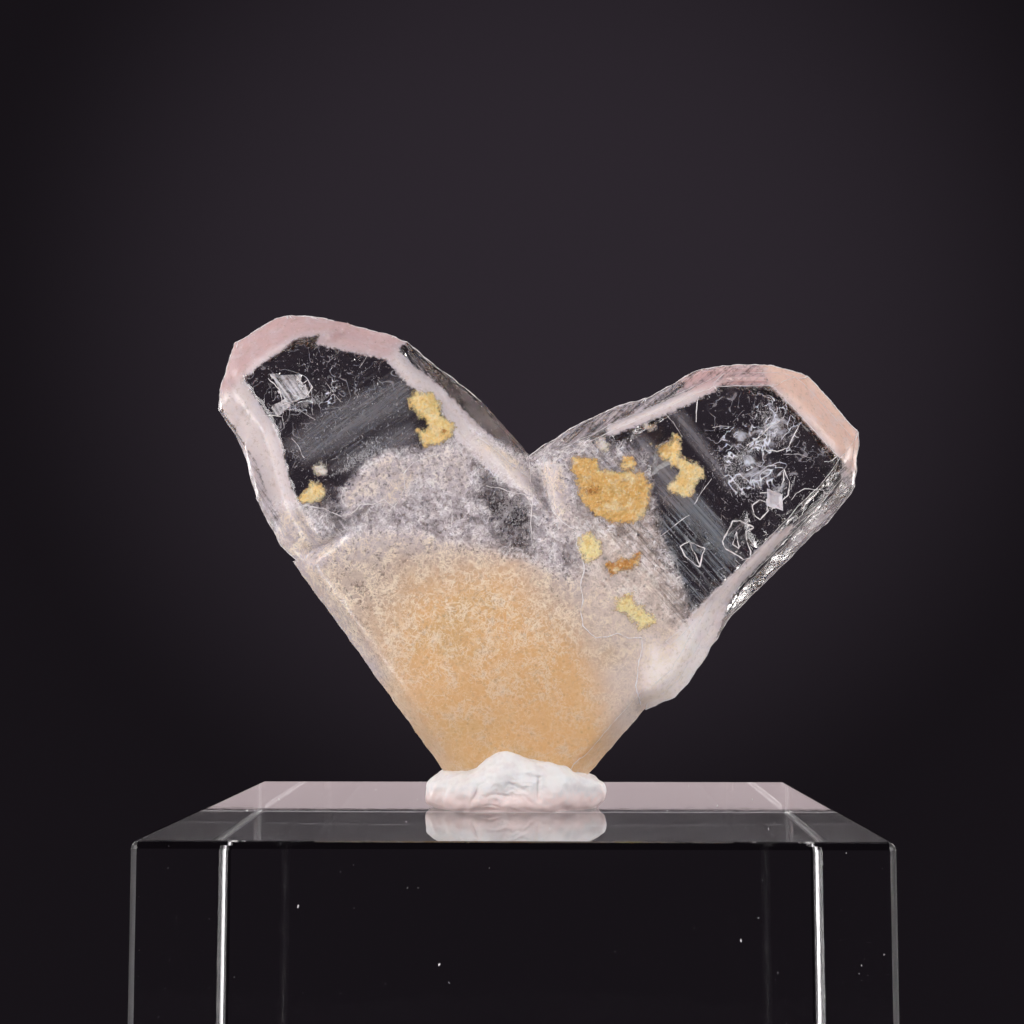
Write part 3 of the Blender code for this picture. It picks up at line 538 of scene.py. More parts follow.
class Nodes:
    """Adds nodes to a tree, with each input given as a value or as a socket to link from."""

    def __init__(self, tree):
        self.tree = tree

    def add(self, kind, inputs=None, output=0, **settings):
        node = self.tree.nodes.new(kind)
        for name, value in settings.items():
            setattr(node, name, value)
        for name, value in (inputs or {}).items():
            socket = node.inputs[name]
            if isinstance(value, bpy.types.NodeSocket):
                self.tree.links.new(value, socket)
            else:
                socket.default_value = value
        return node if output is None else node.outputs[output]

    def math(self, operation, a, b=0.0, c=0.0, clamp=False):
        return self.add("ShaderNodeMath", {0: a, 1: b, 2: c}, operation=operation, use_clamp=clamp)

    def mapped(self, value, low, high, to_low=0.0, to_high=1.0):
        """Value eased from low to high onto another range."""
        return self.add(
            "ShaderNodeMapRange",
            {
                "Value": value, "From Min": low, "From Max": high, "To Min": to_low,
                "To Max": to_high,
            },
            interpolation_type="SMOOTHSTEP",
        )

    def noise(self, vector, scale, detail=4.0, roughness=0.55, distortion=0.0):
        return self.add(
            "ShaderNodeTexNoise",
            {"Vector": vector, "Scale": scale, "Detail": detail, "Roughness": roughness,
             "Distortion": distortion},
        )

    def most(self, *values):
        result = values[0]
        for value in values[1:]:
            result = self.math("MAXIMUM", result, value)
        return result

    def times(self, *values):
        result = values[0]
        for value in values[1:]:
            result = self.math("MULTIPLY", result, value)
        return result

    def without(self, value, mask):
        """Value where the mask is 0, and 0 where it is 1."""
        return self.times(value, self.math("SUBTRACT", 1.0, mask))

    def swayed(self, value, field, amount):
        """Value with a noise field about 0.5 added by an amount."""
        return self.math("MULTIPLY_ADD", self.math("SUBTRACT", field, 0.5), amount, value)

    def mix(self, factor, a, b):
        node = self.tree.nodes.new("ShaderNodeMix")
        node.data_type = "RGBA"
        for name, value in ((0, factor), (6, a), (7, b)):
            if isinstance(value, bpy.types.NodeSocket):
                self.tree.links.new(value, node.inputs[name])
            else:
                node.inputs[name].default_value = (*value, 1.0) if name else value
        return node.outputs[2]

    def attribute(self, name, output="Fac"):
        return self.add("ShaderNodeAttribute", output=output, attribute_name=name)

    def parts(self, vector):
        return self.add("ShaderNodeSeparateXYZ", {0: vector}, output=None).outputs

    def bump(self, height, strength, distance):
        return self.add(
            "ShaderNodeBump", {"Height": height, "Strength": strength, "Distance": distance * MM}
        )

    def principled(self, colour, roughness, normal, **more):
        """The surface shader; more inputs are named with _ for a space."""
        inputs = {"Base Color": colour, "Roughness": roughness, "Normal": normal}
        inputs.update({name.replace("_", " "): value for name, value in more.items()})
        return self.add("ShaderNodeBsdfPrincipled", inputs)

    def absorption(self, colour, density):
        return self.add(
            "ShaderNodeVolumeAbsorption", {"Color": (*colour, 1.0), "Density": density}
        )

    def millimetres(self, scale=(1.0, 1.0, 1.0), turn=(0.0, 0.0, 0.0)):
        """Object coordinates in millimetres, turned and then stretched."""
        place = self.add("ShaderNodeTexCoord", output="Object")
        turned = self.add("ShaderNodeMapping", {"Vector": place, "Rotation": turn})
        stretch = tuple(part / MM for part in scale)
        return self.add("ShaderNodeMapping", {"Vector": turned, "Scale": stretch})


def new_material(name):
    material = bpy.data.materials.new(name)
    material.use_nodes = True
    material.node_tree.nodes.clear()
    return material, Nodes(material.node_tree)


def finish_material(nodes, shader, volume=None):
    output = nodes.add("ShaderNodeOutputMaterial", {"Surface": shader}, output=None)
    if volume is not None:
        nodes.tree.links.new(volume, output.inputs["Volume"])


def add_inputs(tree, inputs):
    """Named inputs for a node group, as {name: (kind, default)}."""
    for label, (kind, default) in inputs.items():
        socket = tree.interface.new_socket(label, in_out="INPUT", socket_type=kind)
        if default is not None:
            socket.default_value = default


def surface_relief_group():
    """Fine uneven relief and a matching smudge mask, used by every finish."""
    if "surface_relief" in bpy.data.node_groups:
        return bpy.data.node_groups["surface_relief"]
    tree = bpy.data.node_groups.new("surface_relief", "ShaderNodeTree")
    add_inputs(tree, {
        "Vector": ("NodeSocketVector", None), "Grain": ("NodeSocketFloat", 4.0),
        "Waves": ("NodeSocketFloat", 0.3),
    })
    for label in ("Height", "Smudge"):
        tree.interface.new_socket(label, in_out="OUTPUT", socket_type="NodeSocketFloat")
    nodes = Nodes(tree)
    start = nodes.add("NodeGroupInput", output=None)
    fine = nodes.noise(start.outputs["Vector"], start.outputs["Grain"], detail=5.0)
    broad = nodes.noise(start.outputs["Vector"], start.outputs["Waves"], detail=2.0)
    height = nodes.math("MULTIPLY_ADD", broad, 2.0, fine)
    smudge = nodes.mapped(nodes.times(fine, broad), 0.2, 0.4)
    nodes.add("NodeGroupOutput", {"Height": height, "Smudge": smudge}, output=None)
    return tree


def relief(nodes, vector, grain, waves):
    node = nodes.tree.nodes.new("ShaderNodeGroup")
    node.node_tree = surface_relief_group()
    nodes.tree.links.new(vector, node.inputs["Vector"])
    node.inputs["Grain"].default_value = grain
    node.inputs["Waves"].default_value = waves
    return node.outputs["Height"], node.outputs["Smudge"]


# Materials


def quartz_material():
    """Clear quartz with milky growth, frosted bevels with painted highlights and painted reflections
    of the studio light, threads and specks at its surface.
    """
    material, nodes = new_material("quartz_clear_and_milky")
    place = nodes.millimetres()
    side = nodes.parts(place)
    milk, veil, frost_and_painted_light, hatch, wisp, painted_highlight_band = (
        nodes.attribute(name) for name in ("milk", "veil", "frost_and_painted_light", "hatch", "wisp", "painted_highlight_band")
    )
    hue = nodes.attribute("hue", "Color")
    broad = nodes.noise(place, 0.85, detail=5.0, roughness=0.68, distortion=0.7)
    fine = nodes.noise(place, 3.4, detail=4.0, roughness=0.72, distortion=0.5)
    wide = nodes.noise(place, 0.22, detail=2.0, roughness=0.5, distortion=0.4)
    speckle = nodes.noise(place, 3.6, detail=4.0, roughness=0.75)
    torn = nodes.noise(place, 0.9, detail=2.0, roughness=0.6)

    def streaks(bearing, fineness):
        """Noise drawn out along a bearing in the twin's plane."""
        drawn = nodes.millimetres((0.16, 1.0, fineness), (0.0, bearing, 0.0))
        return nodes.noise(drawn, 1.0, detail=3.0, roughness=0.75)

    def on_each_side(left, right):
        right_share = nodes.mapped(side["X"], -0.5, 0.5)
        return nodes.add("ShaderNodeMix", {0: right_share, 2: left, 3: right})

    def crinkles(scale, width, distortion):
        """Thin curling lines where a noise field passes its middle."""
        field = nodes.noise(place, scale, detail=2.5, roughness=0.6, distortion=distortion)
        ridge = nodes.math("ABSOLUTE", nodes.math("SUBTRACT", field, 0.5))
        return nodes.mapped(ridge, width, 0.0)

    def dots(scale, size, share):
        """Small spots in a share of the cells."""
        cells = nodes.add("ShaderNodeTexVoronoi", {"Vector": place, "Scale": scale}, output=None)
        picked = nodes.add("ShaderNodeSeparateColor", {"Color": cells.outputs["Color"]})
        spot = nodes.mapped(cells.outputs["Distance"], size, size * 0.4)
        return nodes.times(spot, nodes.mapped(picked, share, share - 0.04))

    turn = math.radians(90.0)
    ridges = on_each_side(streaks(LEFT_AXIS - turn, 6.5), streaks(RIGHT_AXIS - turn, 6.5))
    grooves = on_each_side(streaks(LEFT_AXIS, 3.5), streaks(RIGHT_AXIS, 3.5))

    # The milk's body, with pores, dark grains and combed growth lines left out of it
    level = nodes.swayed(nodes.swayed(milk, broad, 1.3), fine, 0.7)
    body = nodes.times(nodes.mapped(level, 0.12, 1.0), nodes.mapped(milk, 0.0, 0.15))
    pores = nodes.times(dots(2.9, 0.34, 0.5), nodes.mapped(milk, 1.1, 0.7, 0.1, 0.85))
    grains = nodes.times(
        nodes.mapped(speckle, 0.46, 0.36), nodes.mapped(milk, 1.5, 0.8, 0.0, 0.8),
        nodes.mapped(side["X"], 2.5, 5.0, 1.0, 0.45),
    )
    combed = nodes.times(
        nodes.mapped(ridges, 0.5, 0.4), nodes.mapped(milk, 1.0, 0.7, 0.0, 0.6),
        nodes.mapped(side["X"], 3.4, 5.0),
    )
    for gap in (pores, grains, combed):
        body = nodes.without(body, gap)

    # Wisps in the clear parts, threads and specks in the milk
    curling = nodes.times(crinkles(0.42, 0.014, 0.5), nodes.mapped(torn, 0.44, 0.5))
    dashes = nodes.times(crinkles(0.85, 0.018, 0.3), nodes.mapped(torn, 0.56, 0.5))
    cloud = nodes.noise(place, 0.7, detail=6.0, roughness=0.62, distortion=0.4)
    wisps = nodes.most(
        nodes.times(nodes.most(curling, dashes), nodes.mapped(wisp, 0.03, 0.4)),
        nodes.times(nodes.mapped(cloud, 0.47, 0.68), nodes.mapped(wisp, 0.3, 1.0)),
    )
    threads = nodes.times(
        nodes.most(
            crinkles(0.8, 0.024, 1.0), crinkles(1.5, 0.04, 0.7),
            nodes.times(crinkles(2.9, 0.07, 0.5), 0.8),
        ),
        nodes.mapped(broad, 0.36, 0.6, 0.2, 1.0), nodes.mapped(milk, 0.08, 0.5),
    )
    specks = nodes.times(dots(4.2, 0.24, 0.5), nodes.mapped(milk, -0.1, 0.5, 0.3, 1.0))

    # Growth lines, and frosting that also lays the painted highlights of the white, pink and snow
    # zones
    hatching = nodes.times(
        nodes.mapped(ridges, 0.5, 0.6), hatch, nodes.mapped(broad, 0.3, 0.6, 0.4, 1.0)
    )
    frosting_and_painted_light = nodes.swayed(nodes.swayed(frost_and_painted_light, fine, 0.5), grooves, 0.9)
    frosted = nodes.times(nodes.mapped(frosting_and_painted_light, 0.4, 0.76), nodes.mapped(frost_and_painted_light, 0.02, 0.12))
    # The crisp bands are painted highlight and painted reflection of the light the bevels refract
    # and reflect, nicked by fine specks
    painted_highlight_band = nodes.swayed(painted_highlight_band, fine, 0.6)
    painted_band_cover = nodes.times(nodes.mapped(painted_highlight_band, -0.1, 0.1), nodes.mapped(speckle, 0.3, 0.36, 0.5, 1.0))
    cover = nodes.most(
        body, nodes.times(threads, 0.92), nodes.times(specks, 0.85), nodes.times(hatching, 0.42),
        frosted, painted_band_cover, wisps, nodes.times(veil, nodes.mapped(ridges, 0.3, 0.7, 0.5, 1.4)),
    )
    cover = nodes.math("MINIMUM", cover, 1.0)

    # Colours: a bluish grey sheen painted over the hatched growth lines and veils in the clear
    # windows, and warm colours in the root
    painted_cool_sheen = nodes.times(
        nodes.most(hatch, veil), nodes.mapped(milk, 0.6, 0.2), nodes.mapped(painted_highlight_band, 0.0, -0.3)
    )
    hue = nodes.mix(painted_cool_sheen, hue, (0.5, 0.54, 0.6))
    hue = nodes.mix(nodes.mapped(wisps, 0.0, 0.6), hue, (0.82, 0.84, 0.95))
    honey = nodes.mix(nodes.mapped(wide, 0.5, 0.66, 0.0, 0.5), hue, (0.6, 0.4, 0.19))
    warm = nodes.mix(nodes.mapped(milk, 0.9, 1.4), hue, honey)
    rooted = nodes.mapped(milk, 0.7, 1.1)
    film = nodes.mix(rooted, (0.7, 0.64, 0.69), (0.62, 0.52, 0.46))
    pale = nodes.mix(nodes.mapped(broad, 0.48, 0.7, 0.0, 0.4), warm, film)
    thread = nodes.mix(rooted, (0.99, 0.95, 0.97), (0.92, 0.79, 0.64))
    crumbs = nodes.mapped(side["Z"], 29.0, 38.0, 0.35, 1.0)
    curls = nodes.most(
        nodes.times(nodes.math("MINIMUM", threads, 1.0), 0.9), nodes.times(specks, 0.8)
    )
    bright = nodes.mix(nodes.times(curls, crumbs), pale, thread)
    shade = nodes.times(nodes.mapped(fine, 0.5, 0.3, 0.0, 0.45), crumbs)
    colour = nodes.mix(shade, bright, (0.4, 0.29, 0.23))

    height, smudge = relief(nodes, place, 3.0, 0.35)
    milky = nodes.principled(
        colour, nodes.mapped(smudge, 0.0, 1.0, 0.28, 0.5), nodes.bump(height, 0.35, 0.03),
        IOR=QUARTZ_IOR, Subsurface_Weight=0.6, Subsurface_Radius=(1.0, 0.8, 0.6),
        Subsurface_Scale=1.2 * MM,
    )
    combing = nodes.math("MULTIPLY_ADD", ridges, hatch, height)
    dulled = nodes.most(
        nodes.mapped(smudge, 0.0, 1.0, 0.0, 0.06), nodes.mapped(frost_and_painted_light, 0.05, 0.4, 0.0, 0.2)
    )
    clear = nodes.principled(
        (0.985, 0.98, 0.98, 1.0), dulled, nodes.bump(combing, 0.12, 0.03),
        IOR=QUARTZ_IOR, Transmission_Weight=1.0,
    )
    shader = nodes.add("ShaderNodeMixShader", {0: cover, 1: clear, 2: milky})
    finish_material(nodes, shader, nodes.absorption((0.96, 0.94, 0.93), 12.0))
    return material


def stain_material():
    """Grainy iron oxide film, with its colour and its bare edges kept on the mesh."""
    material, nodes = new_material("iron_oxide_film")
    place = nodes.millimetres()
    colour = nodes.attribute("hue", "Color")
    grain = nodes.noise(place, 6.0, detail=5.0, roughness=0.75)
    patches = nodes.noise(place, 1.4, detail=3.0, roughness=0.6)
    for field, start, full, share, tone in (
        (patches, 0.5, 0.66, 0.6, (0.84, 0.7, 0.45)), (patches, 0.45, 0.34, 0.5, (0.74, 0.4, 0.1)),
        (grain, 0.52, 0.66, 0.75, (0.93, 0.82, 0.58)), (grain, 0.47, 0.32, 0.6, (0.5, 0.25, 0.07)),
    ):
        colour = nodes.mix(nodes.mapped(field, start, full, 0.0, share), colour, tone)
    bare = nodes.swayed(nodes.attribute("bare"), grain, 1.8)
    height, smudge = relief(nodes, place, 7.0, 1.0)
    finish_material(nodes, nodes.principled(
        colour, nodes.mapped(smudge, 0.0, 1.0, 0.4, 0.65), nodes.bump(height, 1.0, 0.09),
        Subsurface_Weight=0.3, Subsurface_Radius=(1.0, 0.6, 0.3), Subsurface_Scale=0.3 * MM,
        Alpha=nodes.mapped(bare, 0.9, 0.2),
    ))
    return material


# Plain finishes: relief's grain and waves, two colours, bump's strength and distance, and the range
# of roughness
FINISHES = {
    "frosted_line_and_painted_edge_light": (
        (9.0, 1.2), ((0.84, 0.8, 0.82), (0.7, 0.64, 0.65)), (0.5, 0.02), (0.3, 0.5)),
    "white_inclusions": (
        (6.0, 0.6), ((0.95, 0.95, 0.98), (0.78, 0.8, 0.88)), (0.3, 0.02), (0.25, 0.45)),
    "pale_dust": (
        (8.0, 1.0), ((0.85, 0.83, 0.85), (0.62, 0.6, 0.64)), (0.4, 0.02), (0.6, 0.8)),
    "pale_studio_floor": (
        (0.8, 0.02), ((0.72, 0.69, 0.71), (0.66, 0.63, 0.66)), (0.1, 0.05), (0.6, 0.75)),
}


def plain_finish(name):
    """One of the plain finishes, mottled between its two colours."""
    grain, colours, bump, rough = FINISHES[name]
    material, nodes = new_material(name)
    height, smudge = relief(nodes, nodes.millimetres(), *grain)
    finish_material(nodes, nodes.principled(
        nodes.mix(smudge, *colours), nodes.mapped(smudge, 0.0, 1.0, *rough),
        nodes.bump(height, *bump),
    ))
    return material


def putty_material():
    """White putty, pinker towards its foot."""
    material, nodes = new_material("pressed_white_putty")
    place = nodes.millimetres()
    height, smudge = relief(nodes, place, 3.0, 0.7)
    over_block = nodes.swayed(nodes.parts(place)["Z"], smudge, 0.5)
    foot = nodes.mapped(over_block, BLOCK_TOP + 1.5, BLOCK_TOP + 0.2, 0.0, 0.9)
    colour = nodes.mix(smudge, (0.93, 0.91, 0.92), (0.86, 0.82, 0.84))
    finish_material(nodes, nodes.principled(
        nodes.mix(foot, colour, (0.97, 0.74, 0.72)), nodes.mapped(smudge, 0.0, 1.0, 0.42, 0.6),
        nodes.bump(height, 0.4, 0.06), Subsurface_Weight=0.35, Subsurface_Radius=(1.0, 0.8, 0.7),
        Subsurface_Scale=0.5 * MM,
    ))
    return material


def acrylic_material():
    """Polished clear acrylic with faint wipe marks, chamfers sanded dull, and painted shade: a dark
    colour on the back side chamfers and the front top lip that dims their bright edge lines.
    """
    material, nodes = new_material("polished_clear_acrylic")
    place = nodes.millimetres()
    height, smudge = relief(nodes, place, 1.5, 0.05)
    parts = nodes.parts(place)
    chamfer = BLOCK_HALF - BLOCK_CHAMFER
    beside = nodes.math("ABSOLUTE", parts["X"])
    side = nodes.math("GREATER_THAN", beside, chamfer)
    behind = nodes.math("GREATER_THAN", parts["Y"], chamfer)
    front = nodes.math("LESS_THAN", parts["Y"], -chamfer)
    # Painted shade: the back side chamfers and the front top lip get a dark colour that dims the
    # bright edge lines the studio light draws there
    lip = nodes.times(front, nodes.math("GREATER_THAN", parts["Z"], BLOCK_TOP - BLOCK_CHAMFER))
    painted_dark_edge = nodes.most(nodes.times(behind, side), lip)
    low = nodes.math("LESS_THAN", parts["Z"], BLOCK_CHAMFER)
    dull = nodes.most(
        nodes.times(nodes.most(low, front), side),
        nodes.times(behind, nodes.mapped(beside, BLOCK_HALF - 0.22, BLOCK_HALF - 0.12)),
    )
    tint = nodes.mix(smudge, (0.985, 0.985, 0.99), (0.97, 0.97, 0.975))
    shader = nodes.principled(
        nodes.mix(painted_dark_edge, tint, (0.2, 0.19, 0.2)),
        nodes.most(nodes.mapped(smudge, 0.0, 1.0, 0.0, 0.035), nodes.times(dull, 0.33)),
        nodes.bump(height, 0.02, 0.02), IOR=ACRYLIC_IOR, Transmission_Weight=1.0,
    )
    finish_material(nodes, shader, nodes.absorption((0.93, 0.95, 0.97), 4.0))
    return material


# Geometry Nodes


def geometry_tree(name, inputs):
    """A new tree with a geometry in and out, and named inputs as {name: (kind, default)}."""
    tree = bpy.data.node_groups.new(name, "GeometryNodeTree")
    for way in ("INPUT", "OUTPUT"):
        tree.interface.new_socket("Geometry", in_out=way, socket_type="NodeSocketGeometry")
    add_inputs(tree, inputs)
    nodes = Nodes(tree)
    return tree, nodes, nodes.add("NodeGroupInput", output=None)


def end_tree(nodes, geometry, material):
    """Ends a tree in real, dressed geometry."""
    real = nodes.add("GeometryNodeRealizeInstances", {"Geometry": geometry})
    dressed = nodes.add("GeometryNodeSetMaterial", {"Geometry": real, "Material": material})
    nodes.add("NodeGroupOutput", {"Geometry": dressed}, output=None)


def grow(piece, tree, values):
    """Runs a tree on a piece with its named inputs set, and keeps the result as its plain mesh."""
    modifier = piece.modifiers.new(tree.name, "NODES")
    modifier.node_group = tree
    for item in tree.interface.items_tree:
        if item.item_type == "SOCKET" and item.in_out == "INPUT" and item.name in values:
            modifier[item.identifier] = values[item.name]
    graph = bpy.context.evaluated_depsgraph_get()
    mesh = bpy.data.meshes.new_from_object(
        piece.evaluated_get(graph), preserve_all_data_layers=True, depsgraph=graph
    )
    piece.modifiers.remove(modifier)
    piece.data = mesh
    return piece


def flake_tree():
    """A small flat flake on every point, with the point's own size and turn."""
    tree, nodes, start = geometry_tree(
        "flakes",
        {"Thickness": ("NodeSocketFloat", 0.3), "Material": ("NodeSocketMaterial", None)},
    )
    flake = nodes.add(
        "GeometryNodeMeshIcoSphere", {"Radius": 1.0, "Subdivisions": 1}, output="Mesh"
    )
    flat = nodes.add("ShaderNodeCombineXYZ", {0: 1.0, 1: 0.6, 2: start.outputs["Thickness"]})
    flake = nodes.add("GeometryNodeTransform", {"Geometry": flake, "Scale": flat})
    size, turn = (
        nodes.add("GeometryNodeInputNamedAttribute", {"Name": name}, data_type="FLOAT_VECTOR")
        for name in ("size", "turn")
    )
    points = nodes.add("GeometryNodeMeshToPoints", {"Mesh": start.outputs["Geometry"]})
    placed = nodes.add(
        "GeometryNodeInstanceOnPoints",
        {"Points": points, "Instance": flake, "Rotation": turn, "Scale": size},
    )
    end_tree(nodes, placed, start.outputs["Material"])
    return tree


def line_tree():
    """A wavering thread along every edge chain, as thick as its points say."""
    tree, nodes, start = geometry_tree(
        "growth_lines",
        {"Waver": ("NodeSocketFloat", 0.05 * MM), "Waver Scale": ("NodeSocketFloat", 2.0 / MM),
         "Spacing": ("NodeSocketFloat", 0.08 * MM), "Sides": ("NodeSocketInt", 6),
         "Material": ("NodeSocketMaterial", None)},
    )
    curve = nodes.add("GeometryNodeMeshToCurve", {"Mesh": start.outputs["Geometry"]})
    curve = nodes.add(
        "GeometryNodeResampleCurve", {"Curve": curve, "Length": start.outputs["Spacing"]},
        mode="LENGTH",
    )
    thick = nodes.add("GeometryNodeInputNamedAttribute", {"Name": "thick"}, data_type="FLOAT")
    field = nodes.add(
        "ShaderNodeTexNoise", {"Scale": start.outputs["Waver Scale"], "Detail": 4.0}, output="Color"
    )
    centred = nodes.add(
        "ShaderNodeVectorMath", {0: field, 1: (0.5, 0.5, 0.5)}, operation="SUBTRACT"
    )
    scaled = nodes.add(
        "ShaderNodeVectorMath", {0: centred, "Scale": start.outputs["Waver"]}, operation="SCALE"
    )
    flat = nodes.add("ShaderNodeVectorMath", {0: scaled, 1: (1.0, 0.2, 1.0)}, operation="MULTIPLY")
    curve = nodes.add("GeometryNodeSetPosition", {"Geometry": curve, "Offset": flat})
    swell = nodes.add("ShaderNodeTexNoise", {"Scale": 3.0 / MM, "Detail": 3.0}, output=0)
    swell = nodes.math("MAXIMUM", nodes.math("MULTIPLY_ADD", swell, 3.6, -0.9), 0.12)
    radius = nodes.times(thick, swell)
    curve = nodes.add("GeometryNodeSetCurveRadius", {"Curve": curve, "Radius": radius})
    ring = nodes.add(
        "GeometryNodeCurvePrimitiveCircle", {"Resolution": start.outputs["Sides"], "Radius": 1.0}
    )
    tube = nodes.add(
        "GeometryNodeCurveToMesh",
        {"Curve": curve, "Profile Curve": ring, "Scale": radius, "Fill Caps": True},
    )
    end_tree(nodes, tube, start.outputs["Material"])
    return tree


def grain_tree():
    """Rounded grains strewn over the front of a thin film."""
    tree, nodes, start = geometry_tree(
        "film_grains",
        {"Density": ("NodeSocketFloat", 10.0), "Smallest": ("NodeSocketFloat", 0.02 * MM),
         "Largest": ("NodeSocketFloat", 0.07 * MM), "Seed": ("NodeSocketInt", 3),
         "Material": ("NodeSocketMaterial", None)},
    )
    film = start.outputs["Geometry"]
    points = nodes.add(
        "GeometryNodeDistributePointsOnFaces",
        {"Mesh": film, "Density": start.outputs["Density"], "Seed": start.outputs["Seed"]},
        output=None,
    )
    grain = nodes.add(
        "GeometryNodeMeshIcoSphere", {"Radius": 1.0, "Subdivisions": 1}, output="Mesh"
    )
    size = nodes.add(
        "FunctionNodeRandomValue",
        {2: start.outputs["Smallest"], 3: start.outputs["Largest"], "Seed": start.outputs["Seed"]},
        output=1, data_type="FLOAT",
    )
    turn = nodes.add(
        "FunctionNodeRandomValue", {0: (0.0, 0.0, 0.0), 1: (6.3, 6.3, 6.3), "Seed": 5},
        data_type="FLOAT_VECTOR",
    )
    placed = nodes.add(
        "GeometryNodeInstanceOnPoints",
        {"Points": points.outputs["Points"], "Instance": grain, "Rotation": turn, "Scale": size},
    )
    joined = nodes.add("GeometryNodeJoinGeometry", output=None)
    nodes.tree.links.new(film, joined.inputs[0])
    nodes.tree.links.new(placed, joined.inputs[0])
    end_tree(nodes, joined.outputs[0], start.outputs["Material"])
    return tree


# The crystal's surface


def mark_facets(bm):
    """Notes which facets are bevels, ledges or pit walls, and which edges are rims."""
    kind = bm.faces.layers.int.new("facet_kind")
    for face in bm.faces:
        centre = face.calc_center_median()
        x, z = np.array([centre.x]), np.array([centre.z])
        tilt, level = abs(face.normal.y), abs(centre.y)
        terrace_wall = 0.15 < tilt < 0.3
        if tilt < 0.9 and level < 2.02 and not terrace_wall:
            face[kind] = BEVEL
        elif tilt > 0.9 and level < 1.2:
            face[kind] = LEDGE
        elif centre.y < -2.0:
            for index, (outline, largest, weight) in enumerate(PITS):
                if face.calc_area() < largest and signed_depth(x, z, outline)[0] > 0.0:
                    face[kind] = PIT_WALL + index
    rim = bm.edges.layers.int.new("rim")
    for edge in bm.edges:
        if not edge.is_manifold:
            continue
        level = max(abs(face.calc_center_median().y) for face in edge.link_faces)
        bevel = any(face[kind] == BEVEL for face in edge.link_faces)
        if bevel and edge.calc_face_angle() > math.radians(20.0):
            on_back = edge.verts[0].co.y > 0.3
            if level < 0.92:
                edge[rim] = OUTLINE_RIM
            else:
                edge[rim] = OTHER_RIM if on_back or level < 1.3 else FRONT_RIM
    return rim


def worn_levels(tree, side):
    """A blurred height map of the broad face on one side, -1 front or 1 back, and its weight."""
    columns = int((TWIN_HIGH.x - TWIN_LOW.x) / MAP_STEP) + 2
    rows = int((TWIN_HIGH.z - TWIN_LOW.z) / MAP_STEP) + 2
    level = np.zeros((columns, rows))
    weight = np.zeros((columns, rows))
    for column in range(columns):
        for row in range(rows):
            start = (TWIN_LOW.x + column * MAP_STEP, 10.0 * side, TWIN_LOW.z + row * MAP_STEP)
            hit, normal = tree.ray_cast(Vector(start), Vector((0.0, -side, 0.0)))[:2]
            if hit is not None and abs(normal.y) > 0.93 and abs(hit.y) > 1.6:
                level[column, row] = hit.y
                weight[column, row] = 1.0
    reach = int(3.0 * FACE_BLUR / MAP_STEP)
    kernel = np.exp(-0.5 * (np.arange(-reach, reach + 1) * MAP_STEP / FACE_BLUR) ** 2)
    for axis in range(2):
        level = np.apply_along_axis(np.convolve, axis, level, kernel, "same")
        weight = np.apply_along_axis(np.convolve, axis, weight, kernel, "same")
    return level / np.maximum(weight, 1e-6), weight / kernel.sum() ** 2


def milk_at(x, z):
    """How milky the crystal is at a place."""
    milk = sum(weight * zone(x, z, outline, softness) for outline, weight, softness in MILKY_ZONES)
    milk = np.minimum(milk, 1.1) + 0.5 * zone(x, z, CORE, 4.0)
    for outline, weight, softness in CLEAR_ZONES:
        milk -= weight * zone(x, z, outline, softness)
    return milk


def etched_vertices(bm):
    """The vertices on milky, frosted and worn parts of the front, and on the left crown."""
    x, y, z = np.array([vert.co for vert in bm.verts]).T
    etched = milk_at(x, z) - 0.5
    for outline, weight, softness, colour in FROST_AND_PAINTED_LIGHT:
        if weight > 0.7:
            etched = np.maximum(etched, signed_depth(x, z, outline) + 0.1)
    for outline in WORN:
        etched = np.maximum(etched, signed_depth(x, z, outline))
    crown = (x < CROWN_X) & (z > CROWN_Z)
    etched = (etched > 0.0) & ((y < -0.75) | crown)
    return [vert for vert, worn in zip(bm.verts, etched) if worn]


def wear_down(bm, rims, levels, wear):
    """Wears the broad faces' terraces away and lets the rims wander."""
    kind = bm.faces.layers.int["facet_kind"]
    for vert in bm.verts:
        place = vert.co.copy()
        depth = rims.find(place)[2]
        ripple = noise.noise_vector(place * 1.3) + 0.5 * noise.noise_vector(place * 3.1)
        near_rim = max(0.0, 1.0 - depth / 0.9)
        reach = wear * (0.12 + near_rim * near_rim)
        pitted = any(face[kind] >= PIT_WALL for face in vert.link_faces)
        if depth > 0.15 and abs(place.y) > 1.6 and not pitted:
            level, weight = levels[place.y > 0.0]
            column = round((place.x - TWIN_LOW.x) / MAP_STEP)
            row = round((place.z - TWIN_LOW.z) / MAP_STEP)
            share = min(1.0, (depth - 0.15) / 0.4) * min(1.0, weight[column, row] * 4.0)
            place.y += (level[column, row] - place.y) * share
        vert.co = place + Vector((ripple.x, 0.3 * ripple.y, ripple.z)) * reach


def round_off(bm, times):
    """Rounds the etched parts, and leaves sharp only the edges that wear has spared."""
    etched = etched_vertices(bm)
    for turn in range(times):
        bmesh.ops.smooth_vert(
            bm, verts=etched, factor=0.5, use_axis_x=True, use_axis_y=True, use_axis_z=True
        )
    shade_smooth(bm)
    bm.normal_update()
    etched = set(etched)
    for edge in bm.edges:
        limit = 60.0 if all(vert in etched for vert in edge.verts) else 13.0
        edge.smooth = edge.calc_face_angle(0.0) < math.radians(limit)


